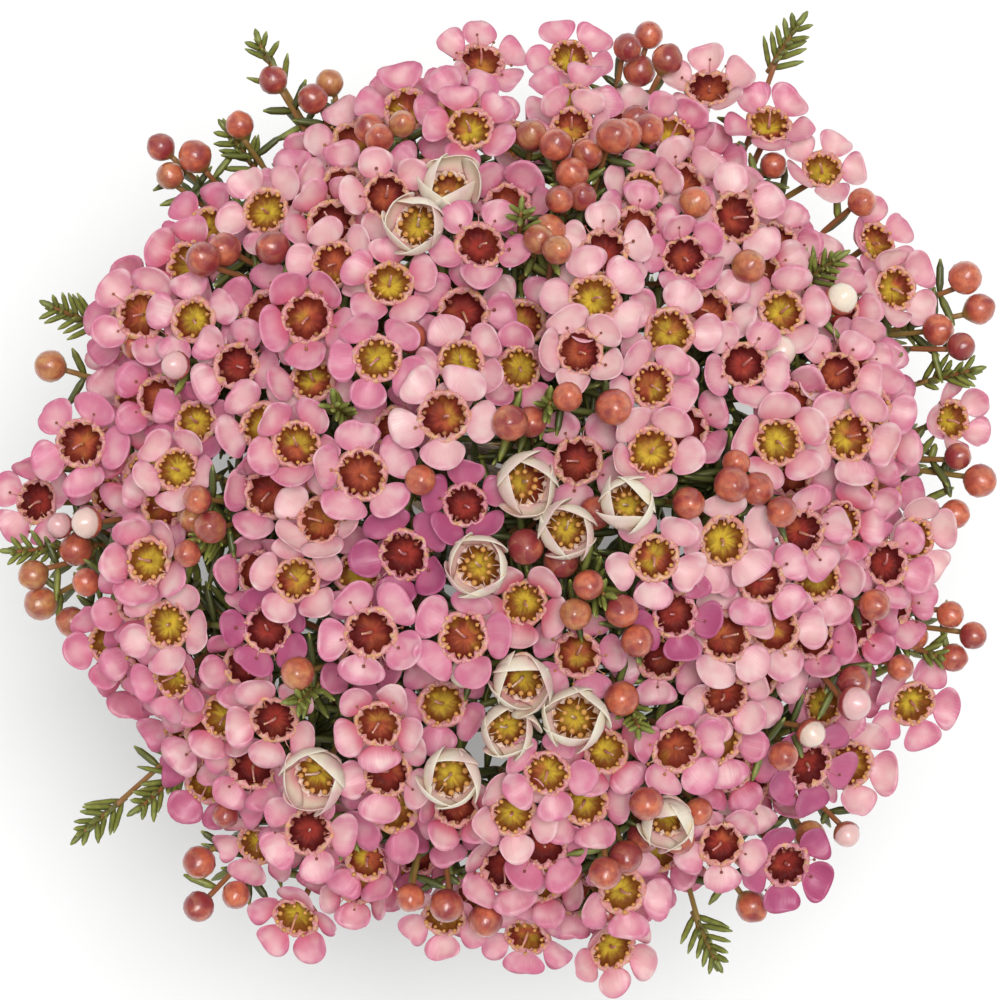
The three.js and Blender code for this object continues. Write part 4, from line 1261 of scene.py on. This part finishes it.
def add_bud(piece, member, kits, rng):
    side, _ = across_from(member.facing, rng.uniform(0, TURN))
    capped = member.look == "capped"
    marks = {"tone": rng.uniform(0, 1), "age": rng.uniform(0, 1), "cream": float(capped)}
    matrix = placing(member.at, member.facing, side, member.radius)
    piece.add(kits[capped], matrix, keep=True, **marks)


def add_shoot(piece, member, foliage, rng):
    """A leafy shoot tip, whose leaves get shorter towards its top."""
    foot = foot_of(member)
    line = eased_line([foot - 4 * member.facing, foot, member.at + 1.0 * member.facing], 9)
    piece.add(bent_tube(line, np.linspace(0.62, 0.35, 9), 6, "twig"), tone=rng.uniform(0, 1))
    stations = [(0.06 + 0.1 * n, 0.8 - 0.05 * n) for n in range(10)]
    foliage.add_pairs(piece, line, stations, rng, slants=(28, 50), youth=0.8)


def add_knob(piece, hub, foliage, rng):
    """The knob that a branch ends in, with the leaves round it."""
    foot = hub.at - (KNOB_RADIUS + 2 * GAP) * hub.axis
    line = eased_line([foot, hub.at, hub.at + 1.2 * hub.axis], 7)
    radii = np.array([TIP_RADIUS, 1.0, 1.25, 1.45, 1.4, 1.1, 0.5])
    piece.add(bent_tube(line, radii, 8, "twig", 0.06, rng), tone=0.8)
    stations = [(0.06 + 0.07 * n, 1.45 - 0.03 * n) for n in range(14)]
    foliage.add_pairs(piece, line, stations, rng, slants=(55, 100))


# ---- Materials --------


class Shader:
    """A material, or a node group, under construction."""

    def __init__(self, tree):
        self.tree = tree

    def node(self, kind, **values):
        """A node with values for its properties."""
        made = self.tree.nodes.new(kind)
        for name, value in values.items():
            setattr(made, name, value)
        return made

    def feed(self, socket, value):
        """Links an output to a socket, or sets the socket's own value."""
        if isinstance(value, bpy.types.NodeSocket):
            self.tree.links.new(value, socket)
        elif hasattr(value, "__len__") and len(value) == 3 and len(socket.default_value) == 4:
            socket.default_value = (*value, 1)
        else:
            socket.default_value = value

    def mark(self, name):
        return self.node("ShaderNodeAttribute", attribute_name=name).outputs["Fac"]

    def marks(self, *names):
        return [self.mark(name) for name in names]

    def place(self):
        return self.node("ShaderNodeTexCoord").outputs["Object"]

    def vector(self, x, y, z):
        made = self.node("ShaderNodeCombineXYZ")
        for socket, value in zip(made.inputs, (x, y, z)):
            self.feed(socket, value)
        return made.outputs[0]

    def math(self, operation, *values):
        made = self.node("ShaderNodeMath", operation=operation)
        for socket, value in zip(made.inputs, values):
            self.feed(socket, value)
        return made.outputs[0]

    def rise(self, value, low, high, first=0.0, last=1.0):
        """A smooth change from first to last as a value goes from low to high."""
        made = self.node("ShaderNodeMapRange", interpolation_type="SMOOTHSTEP")
        for socket, number in zip(made.inputs, (value, low, high, first, last)):
            self.feed(socket, number)
        return made.outputs[0]

    def mix(self, factor, a, b):
        made = self.node("ShaderNodeMix", data_type="RGBA")
        self.feed(made.inputs["Factor"], factor)
        self.feed(made.inputs[6], a)
        self.feed(made.inputs[7], b)
        return made.outputs[2]

    def noise(self, vector, scale, detail=2.0):
        made = self.node("ShaderNodeTexNoise")
        for socket, value in {"Vector": vector, "Scale": scale, "Detail": detail}.items():
            self.feed(made.inputs[socket], value)
        return made.outputs["Fac"]

    def bump(self, height, strength, distance):
        made = self.node("ShaderNodeBump")
        for socket, value in {"Strength": strength, "Distance": distance, "Height": height}.items():
            self.feed(made.inputs[socket], value)
        return made.outputs["Normal"]

    def group(self, tree, **values):
        made = self.node("ShaderNodeGroup")
        made.node_tree = tree
        for name, value in values.items():
            self.feed(made.inputs[name.replace("_", " ").capitalize()], value)
        return made.outputs


class Material(Shader):
    """A material with one Principled shader."""

    def __init__(self, name, **constants):
        self.material = bpy.data.materials.new(name)
        self.material.use_nodes = True
        super().__init__(self.material.node_tree)
        self.surface = self.tree.nodes["Principled BSDF"]
        for socket, value in constants.items():
            name = socket.replace("_", " ").title().replace("Ior", "IOR")
            self.surface.inputs[name].default_value = value

    def finish(self, base, roughness=None, normal=None):
        self.feed(self.surface.inputs["Base Color"], base)
        if roughness is not None:
            self.feed(self.surface.inputs["Roughness"], roughness)
        if normal is not None:
            self.feed(self.surface.inputs["Normal"], normal)
        return self.material

    def finish_mottled(self, mottle, body, shade, scale, amount, strength, depth, roughness=None):
        """Finishes with patches of a shade in the colour, which stand out a little."""
        grain = self.group(mottle, colour=body, shade=shade, scale=scale, amount=amount)
        return self.finish(grain["Colour"], roughness, self.bump(grain["Height"], strength, depth))


def node_group(name, inputs, outputs):
    """An empty node group as a shader under construction, with its given values and its results."""
    tree = bpy.data.node_groups.new(name, "ShaderNodeTree")
    for way, sockets in (("INPUT", inputs), ("OUTPUT", outputs)):
        for socket, kind in sockets.items():
            tree.interface.new_socket(socket, in_out=way, socket_type=f"NodeSocket{kind}")
    shader = Shader(tree)
    given = shader.node("NodeGroupInput").outputs
    return shader, given, shader.node("NodeGroupOutput").inputs


def mottle_group():
    """A node group that mottles a colour with a shade of it, and gives the patches as a height."""
    shader, given, result = node_group(
        "Plant mottle",
        {"Colour": "Color", "Shade": "Color", "Scale": "Float", "Amount": "Float"},
        {"Colour": "Color", "Height": "Float"},
    )
    height = shader.noise(shader.place(), given["Scale"], 4)
    patches = shader.math("MULTIPLY", shader.rise(height, 0.35, 0.68), given["Amount"])
    shader.feed(result["Colour"], shader.mix(patches, given["Colour"], given["Shade"]))
    shader.feed(result["Height"], height)
    return shader.tree


def streak_group():
    """A node group that gives fine streaks, which run along a leaf or petal, as a mask."""
    inputs = dict.fromkeys(("Along", "Across", "Density", "Seed"), "Float")
    shader, given, result = node_group("Fine streaks", inputs, {"Mask": "Float"})
    place = shader.vector(
        shader.math("MULTIPLY", given["Across"], given["Density"]),
        given["Along"],
        shader.math("MULTIPLY", given["Seed"], 37.0),
    )
    shader.feed(result["Mask"], shader.noise(place, 1.6, 3))
    return shader.tree


def petal_material(settings, streaks):
    glow = {"subsurface_weight": 0.18, "subsurface_scale": 0.0012, "subsurface_radius": (1, 0.45, 0.5)}
    shader = Material("waxy_petal", roughness=0.42, **glow)
    tone, along, across, edge = shader.marks("tone", "along", "across", "edge")
    blush, cream = shader.marks("age", "cream")
    drift = shader.noise(shader.place(), 170.0, 1)
    pinkness = shader.math("MULTIPLY_ADD", tone, 1.1, shader.rise(edge, 0.25, 1.0, 0, 0.45))
    pinkness = shader.math("MULTIPLY_ADD", drift, 0.9, shader.math("SUBTRACT", pinkness, 0.45))
    body = shader.mix(shader.rise(pinkness, 0.0, 0.95), settings.petal_pale, settings.petal_pink)
    body = shader.mix(shader.rise(tone, 0.6, 1.0), body, settings.petal_deep)
    veins = shader.group(streaks, along=along, across=across, density=9.0, seed=blush)["Mask"]
    # Pale patches from noise: partly the petal's own paler colour, partly painted soft sheen on its waxy
    # face. They fade on strongly coloured petals.
    cloud = shader.rise(shader.noise(shader.place(), 330.0, 1), 0.42, 0.72, 0, 0.7)
    paler = shader.math("MAXIMUM", cloud, shader.rise(veins, 0.5, 0.75, 0, 0.35))
    paler = shader.math("MULTIPLY", paler, shader.rise(tone, 0, 1, 0.9, 0.12))
    body = shader.mix(paler, body, settings.petal_pale_and_sheen)
    foot = shader.rise(along, 0.66, 0.12)
    spot = shader.math("MULTIPLY", foot, shader.rise(blush, 0.25, 1.0, 0.1, 0.9))
    body = shader.mix(spot, body, settings.petal_blush)
    inside = shader.rise(along, 0.0, 0.55, 0.35, 1.0)
    inside = shader.math("MULTIPLY", inside, shader.rise(drift, 0.35, 0.6, 0.5, 1.0))
    body = shader.mix(shader.math("MULTIPLY", cream, inside), body, settings.petal_cream)
    normal = shader.bump(veins, 0.18, 0.0004)
    return shader.finish(body, shader.rise(veins, 0.3, 0.7, 0.36, 0.5), normal)


def cup_material(settings, mottle):
    shader = Material("nectar_cup", roughness=0.5, specular_ior_level=0.08)
    age, edge, along, across = shader.marks("age", "edge", "along", "across")
    spokes = shader.vector(
        shader.math("MULTIPLY", across, 2.6),
        shader.math("MULTIPLY", along, 2.6),
        shader.math("ADD", edge, shader.math("MULTIPLY", age, 17.0)),
    )
    streak = shader.noise(spokes, 1.4, 4)
    # A cup goes from a lighter middle to a darker wall: partly its own ring, partly painted shade in the
    # hollow round a painted glow at its middle.
    out = shader.rise(shader.math("MULTIPLY_ADD", streak, 0.8, edge), 0.6, 1.25)
    patch = shader.noise(shader.place(), 190.0, 1)
    age = shader.math("ADD", age, shader.rise(patch, 0.3, 0.7, -0.22, 0.22))
    young = shader.mix(out, settings.cup_gold, settings.cup_olive)
    middle = shader.mix(out, settings.cup_orange, settings.cup_brick)
    old = shader.mix(out, settings.cup_red, settings.cup_burgundy)
    body = shader.mix(shader.rise(age, 0.25, 0.55), young, middle)
    body = shader.mix(shader.rise(age, 0.6, 0.9), body, old)
    body = shader.mix(shader.rise(streak, 0.55, 0.8, 0, 0.25), body, settings.cup_orange)
    grain = shader.group(mottle, colour=body, shade=settings.cup_burgundy, scale=520.0, amount=0.4)
    return shader.finish(grain["Colour"], None, shader.bump(streak, 0.5, 0.0006))


def frill_material(settings, mottle):
    shader = Material("stamen_frill", roughness=0.45, subsurface_weight=0.15, subsurface_scale=0.0008)
    tone = shader.mark("tone")
    body = shader.mix(shader.rise(tone, 0, 1, 0.05, 0.55), settings.frill, settings.petal_pink)
    body = shader.mix(shader.math("MULTIPLY", shader.mark("cream"), 0.6), body, settings.petal_cream)
    gold = shader.rise(shader.noise(shader.place(), 850.0, 2), 0.5, 0.62, 0, 0.8)
    body = shader.mix(gold, body, settings.frill_gold)
    return shader.finish_mottled(mottle, body, settings.petal_pale_and_sheen, 1100.0, 0.3, 0.5, 0.0004)


def anther_material(settings, mottle):
    shader = Material("anther", roughness=0.5)
    old = shader.rise(shader.mark("age"), 0.35, 0.75)
    body = shader.mix(old, settings.pollen, settings.spent)
    return shader.finish_mottled(mottle, body, settings.spent, 1800.0, 0.35, 0.4, 0.0002)


def bell_material(settings, greens, mottle):
    shader = Material("bell", roughness=0.42)
    tone = shader.rise(shader.mark("tone"), 0, 1, 0.15, 0.85)
    body = shader.mix(tone, greens.twig, settings.bud_copper)
    return shader.finish_mottled(mottle, body, greens.twig_red, 500.0, 0.5, 0.35, 0.0003)


def bud_material(settings, mottle):
    glow = {"subsurface_weight": 0.12, "subsurface_scale": 0.0015}
    shader = Material("bud_skin", coat_weight=0.6, coat_roughness=0.2, **glow)
    tone, along, across = shader.marks("tone", "along", "across")
    patches = shader.noise(shader.place(), 240.0, 2)
    redness = shader.math("MULTIPLY", tone, 0.6)
    redness = shader.math("ADD", shader.math("MULTIPLY", patches, 2.2), redness)
    body = shader.mix(shader.rise(redness, 1.0, 1.75), settings.bud_copper, settings.bud_mauve)
    pale = shader.math("SUBTRACT", shader.noise(shader.place(), 260.0, 2), shader.mark("age"))
    body = shader.mix(shader.rise(pale, 0.15, 0.6, 0, 0.8), body, settings.bud_gold)
    # Painted highlight: a lighter colour along the lines where the petals lap, on the bud's upper half
    # only.
    swirl = shader.math("MULTIPLY_ADD", across, 1.5, shader.math("MULTIPLY", along, 1.5))
    swirl = shader.rise(shader.math("FRACT", swirl), 0.3, 1.0)
    lap = shader.math("MULTIPLY", swirl, shader.rise(along, 0.5, 0.8))
    body = shader.mix(shader.math("MULTIPLY", lap, 0.22), body, settings.bud_lap_highlight)
    body = shader.mix(shader.rise(along, 0.42, 0.1, 0, 0.75), body, settings.bud_green)
    grain = shader.group(mottle, colour=body, shade=settings.bud_mauve, scale=750.0, amount=0.5)
    cap = shader.math("MULTIPLY", shader.mark("cream"), shader.rise(along, 0.5, 0.6))
    petals = shader.mix(shader.rise(tone, 0, 1), settings.petal_cream, settings.petal_pale)
    body = shader.mix(cap, grain["Colour"], petals)
    return shader.finish(body, 0.34, shader.bump(grain["Height"], 0.5, 0.0005))


def leaf_material(greens, mottle):
    shader = Material("leaf", roughness=0.42)
    along, tone = shader.marks("along", "tone")
    fresh = shader.rise(tone, 0.4, 1.0, 0, 0.7)
    young = shader.math("MAXIMUM", shader.rise(along, 0.75, 1.0), fresh)
    body = shader.mix(young, greens.leaf, greens.leaf_tip)
    return shader.finish_mottled(mottle, body, greens.leaf, 600.0, 0.5, 0.3, 0.0004)


def twig_material(greens, mottle):
    shader = Material("green_twig", roughness=0.5)
    body = shader.mix(shader.rise(shader.mark("tone"), 0.2, 0.9), greens.twig, greens.twig_red)
    return shader.finish_mottled(mottle, body, greens.twig_red, 350.0, 0.6, 0.35, 0.0004)


def bark_material(greens, mottle, streaks):
    shader = Material("bark", roughness=0.8)
    along, across = shader.marks("along", "across")
    drawn_out = shader.math("MULTIPLY", along, 14.0)
    fissures = shader.group(streaks, along=drawn_out, across=across, density=7.0)["Mask"]
    body = shader.mix(shader.rise(fissures, 0.42, 0.7), greens.bark, greens.bark_pale)
    body = shader.mix(shader.rise(along, 0.5, 0.95), body, greens.twig_red)
    grain = shader.group(mottle, colour=body, shade=greens.bark, scale=260.0, amount=0.6)
    return shader.finish(grain["Colour"], None, shader.bump(fissures, 0.7, 0.0008))


def cut_wood_material(greens, mottle):
    shader = Material("cut_wood", roughness=0.85)
    return shader.finish_mottled(mottle, greens.cut_wood, greens.bark_pale, 900.0, 0.6, 0.4, 0.0003)


def rubber_material(settings, mottle):
    shader = Material("rubber", roughness=0.55)
    shade = [0.7 * value for value in settings.rubber]
    return shader.finish_mottled(mottle, settings.rubber, shade, 220.0, 0.5, 0.25, 0.0005)


def palette(scene):
    """The materials of all pieces, in the palette's order, made once."""
    if "waxy_petal" in bpy.data.materials:
        return [bpy.data.materials[name] for name in scene["waxflower_palette"]]
    blossom, greens, band = scene.waxflower_blossom, scene.waxflower_green, scene.waxflower_band
    mottle, streaks = mottle_group(), streak_group()
    made = {
        "petal": petal_material(blossom, streaks),
        "cup": cup_material(blossom, mottle),
        "frill": frill_material(blossom, mottle),
        "anther": anther_material(blossom, mottle),
        "bell": bell_material(blossom, greens, mottle),
        "bud": bud_material(blossom, mottle),
        "leaf": leaf_material(greens, mottle),
        "twig": twig_material(greens, mottle),
        "bark": bark_material(greens, mottle, streaks),
        "cut_wood": cut_wood_material(greens, mottle),
        "rubber": rubber_material(band, mottle),
    }
    scene["waxflower_palette"] = [made[name].name for name in PALETTE]
    return [made[name] for name in PALETTE]


# ---- Pieces --------

KIT_SEED = 7
STEM_SEED = 1000  # plus a stem's number
SIDE_SHADE = 0.55  # where the bark's change to twig starts on a side branch, as a stem's share
SENSOR = 36  # the camera's, in its own millimetres
BAND_STEPS = 56  # points of a turn
BAND_BACK = 0.86  # where the band starts to slant back over its turns, as a share of its length


def make_spray(hub, number, kits, foliage, settings, materials):
    rng = np.random.default_rng(number)
    piece = Piece()
    add_knob(piece, hub, foliage, rng)
    for member in hub.members:
        add_stalk(piece, member, foliage, rng)
        if member.kind == "flower":
            kit = kits["plain" if member.look == "filling" else "fine"]
            add_flower(piece, member, kit, settings, rng)
        elif member.kind == "bud":
            add_bud(piece, member, kits["bud"], rng)
        else:
            add_shoot(piece, member, foliage, rng)
    piece.finish(f"flowering_spray_{number:02d}", f"spray_{number:02d}", "blossom", materials)


def cut_level(mesh):
    """Flattens the lowest ring of a stem onto the floor, and gives its end the cut's material."""
    co = coordinates(mesh)
    along = get_mark(mesh, "along")
    foot = along < 1e-6
    co[foot, 2] = 0.0
    set_coordinates(mesh, co)
    for polygon in mesh.polygons:
        if all(foot[v] for v in polygon.vertices):
            polygon.material_index = PALETTE.index("cut_wood")
            polygon.use_smooth = False


def make_stem(branches, number, foliage, materials):
    rng = np.random.default_rng(STEM_SEED + number)
    piece = Piece()
    for branch in branches:
        sides = 10 if branch.leader else 8
        mesh = bent_tube(branch.points, branch.radii, sides, "bark", 0.07, rng)
        if branch.leader:
            cut_level(mesh)
        else:
            set_mark(mesh, "along", SIDE_SHADE + (1 - SIDE_SHADE) * get_mark(mesh, "along"))
        piece.add(mesh)
        leafy = branch.points[RUN_POINTS:] if branch.leader else branch.points
        reach = float(np.sum(size_of(np.diff(leafy, axis=0))))
        first, span = LEAFY_SHARE
        count = int(span * reach / LEAF_SPACING)
        stations = [(first + span * n / max(count, 1), rng.uniform(0.85, 1.2)) for n in range(count)]
        foliage.add_pairs(piece, leafy, stations, rng, slants=(40, 80))
    piece.finish(f"woody_stem_{number:02d}", f"stem_{number:02d}", "wood", materials)


def band_line(settings):
    """The closed line of the band: a few turns round the stems, and one slant back over them."""
    thick = settings.thickness / MM
    hug = RINGS[-1].waist + WAIST_RADIUS + thick / 2
    height = (BAND_BOX[1].z - BAND_BOX[0].z) / MM - thick
    steps = BAND_STEPS * settings.turns
    points = []
    for k in range(steps):
        s = k / steps
        rising = min(s / BAND_BACK, 1)
        back = max((s - BAND_BACK) / (1 - BAND_BACK), 0)
        level = height * (rising - 0.5) if back == 0 else height * (0.5 - back)
        over = thick * 0.95 * math.sin(math.pi * back) ** 0.6 if back > 0 else 0
        turn = s * settings.turns * TURN
        slack = 0.25 * math.cos(9 * turn)
        reach = hug + over + slack
        points.append((reach * math.cos(turn), reach * math.sin(turn), WAIST_LEVEL + level))
    return np.array(points)


def make_band(settings, materials):
    line = band_line(settings)
    thick = settings.thickness / MM
    closed = np.vstack([line, line[:1]])
    radii = np.full(len(closed), thick / 2)
    piece = Piece()
    piece.add(bent_tube(closed, radii, 8, "rubber"))
    piece.finish("wound_rubber_band", "rubber_band", "band", materials)


def soft_light(name, tilt, bearing, width, strength):
    """A wide, far light that shines from a tilt off straight above, on a bearing. Angles are degrees."""
    data = bpy.data.lights.new(name, "SUN")
    data.angle = math.radians(width)
    data.energy = strength
    lamp = bpy.data.objects.new(name, data)
    lamp.location = (AXIS.x, AXIS.y, 1)
    lamp.rotation_euler = (0, math.radians(tilt), math.radians(bearing))
    bpy.context.scene.collection.objects.link(lamp)


def make_stage(settings):
    scene = bpy.context.scene
    head = HEAD_LEVEL * MM
    camera = bpy.data.cameras.new("camera")
    camera.sensor_width = SENSOR
    camera.lens = SENSOR * settings.eye_height / settings.view_width
    eye = bpy.data.objects.new("camera", camera)
    eye.location = (AXIS.x + settings.off_centre, AXIS.y, head + settings.eye_height)
    scene.collection.objects.link(eye)
    scene.camera = eye
    bm = bmesh.new()
    bmesh.ops.create_grid(bm, x_segments=1, y_segments=1, size=3)
    mesh = bpy.data.meshes.new("floor")
    bm.to_mesh(mesh)
    bm.free()
    floor = bpy.data.objects.new("floor", mesh)
    scene.collection.objects.link(floor)
    paint = Material("floor", roughness=0.9)
    mesh.materials.append(paint.finish(tuple(settings.floor)))
    world = bpy.data.worlds.new("studio")
    world.use_nodes = True
    sky = world.node_tree.nodes["Background"].inputs
    sky["Strength"].default_value = settings.sky
    sky["Color"].default_value = (1, 1, 1, 1)
    scene.world = world
    scene.view_settings.view_transform = "Standard"
    soft_light("key", tilt=7, bearing=50, width=24, strength=settings.key)


# ---- Operators and panel --------


class WAXFLOWER_OT_sprays(bpy.types.Operator):
    """Make the flowering sprays, with their flowers, buds, stalks and shoot tips"""

    bl_idname = "waxflower.sprays"
    bl_label = "Flowering sprays"

    def execute(self, context):
        scene = context.scene
        rng = np.random.default_rng(KIT_SEED)
        kits = {
            "fine": flower_kit(rng, cells=8, steps=40, variants=4),
            "plain": flower_kit(rng, cells=5, steps=20, variants=2),
            "bud": {False: bud_mesh(False), True: bud_mesh(True)},
        }
        materials = palette(scene)
        hubs = lay_out()
        foliage = Foliage(scene.waxflower_green, hubs)
        for i, hub in enumerate(hubs):
            make_spray(hub, i + 1, kits, foliage, scene.waxflower_blossom, materials)
        return {"FINISHED"}


class WAXFLOWER_OT_stems(bpy.types.Operator):
    """Make the woody stems, with their branches and needle leaves"""

    bl_idname = "waxflower.stems"
    bl_label = "Woody stems"

    def execute(self, context):
        scene = context.scene
        materials = palette(scene)
        hubs = lay_out()
        foliage = Foliage(scene.waxflower_green, hubs)
        for i, branches in enumerate(place_stems(hubs)):
            make_stem(branches, i + 1, foliage, materials)
        return {"FINISHED"}


class WAXFLOWER_OT_band(bpy.types.Operator):
    """Make the rubber band that is wound round the stems"""

    bl_idname = "waxflower.band"
    bl_label = "Rubber band"

    def execute(self, context):
        make_band(context.scene.waxflower_band, palette(context.scene))
        return {"FINISHED"}


class WAXFLOWER_OT_stage(bpy.types.Operator):
    """Make the floor, the lights and the camera"""

    bl_idname = "waxflower.stage"
    bl_label = "Stage"

    def execute(self, context):
        make_stage(context.scene.waxflower_stage)
        return {"FINISHED"}


class WAXFLOWER_PT_panel(bpy.types.Panel):
    """Lists what the bunch is made of"""

    bl_label = "Waxflower bunch"
    bl_space_type = "VIEW_3D"
    bl_region_type = "UI"
    bl_category = "Waxflower"

    def draw(self, context):
        for settings, operator in PARTS.values():
            self.layout.operator(operator.bl_idname)
            box = self.layout.box()
            group = getattr(context.scene, settings)
            for name in group.bl_rna.properties.keys():
                if name not in {"rna_type", "name"}:
                    box.prop(group, name)


SETTINGS = {
    "waxflower_blossom": BlossomSettings,
    "waxflower_green": GreenSettings,
    "waxflower_band": BandSettings,
    "waxflower_stage": StageSettings,
}
PARTS = {
    "sprays": ("waxflower_blossom", WAXFLOWER_OT_sprays),
    "stems": ("waxflower_green", WAXFLOWER_OT_stems),
    "band": ("waxflower_band", WAXFLOWER_OT_band),
    "stage": ("waxflower_stage", WAXFLOWER_OT_stage),
}
CLASSES = [*SETTINGS.values(), *(operator for _, operator in PARTS.values()), WAXFLOWER_PT_panel]


def register():
    for cls in CLASSES:
        bpy.utils.register_class(cls)
    for name, settings in SETTINGS.items():
        setattr(bpy.types.Scene, name, PointerProperty(type=settings))


def unregister():
    for name in SETTINGS:
        delattr(bpy.types.Scene, name)
    for cls in reversed(CLASSES):
        bpy.utils.unregister_class(cls)


def main():
    register()
    bpy.ops.waxflower.stage()
    bpy.ops.waxflower.sprays()
    bpy.ops.waxflower.stems()
    bpy.ops.waxflower.band()


if __name__ == "__main__":
    main()
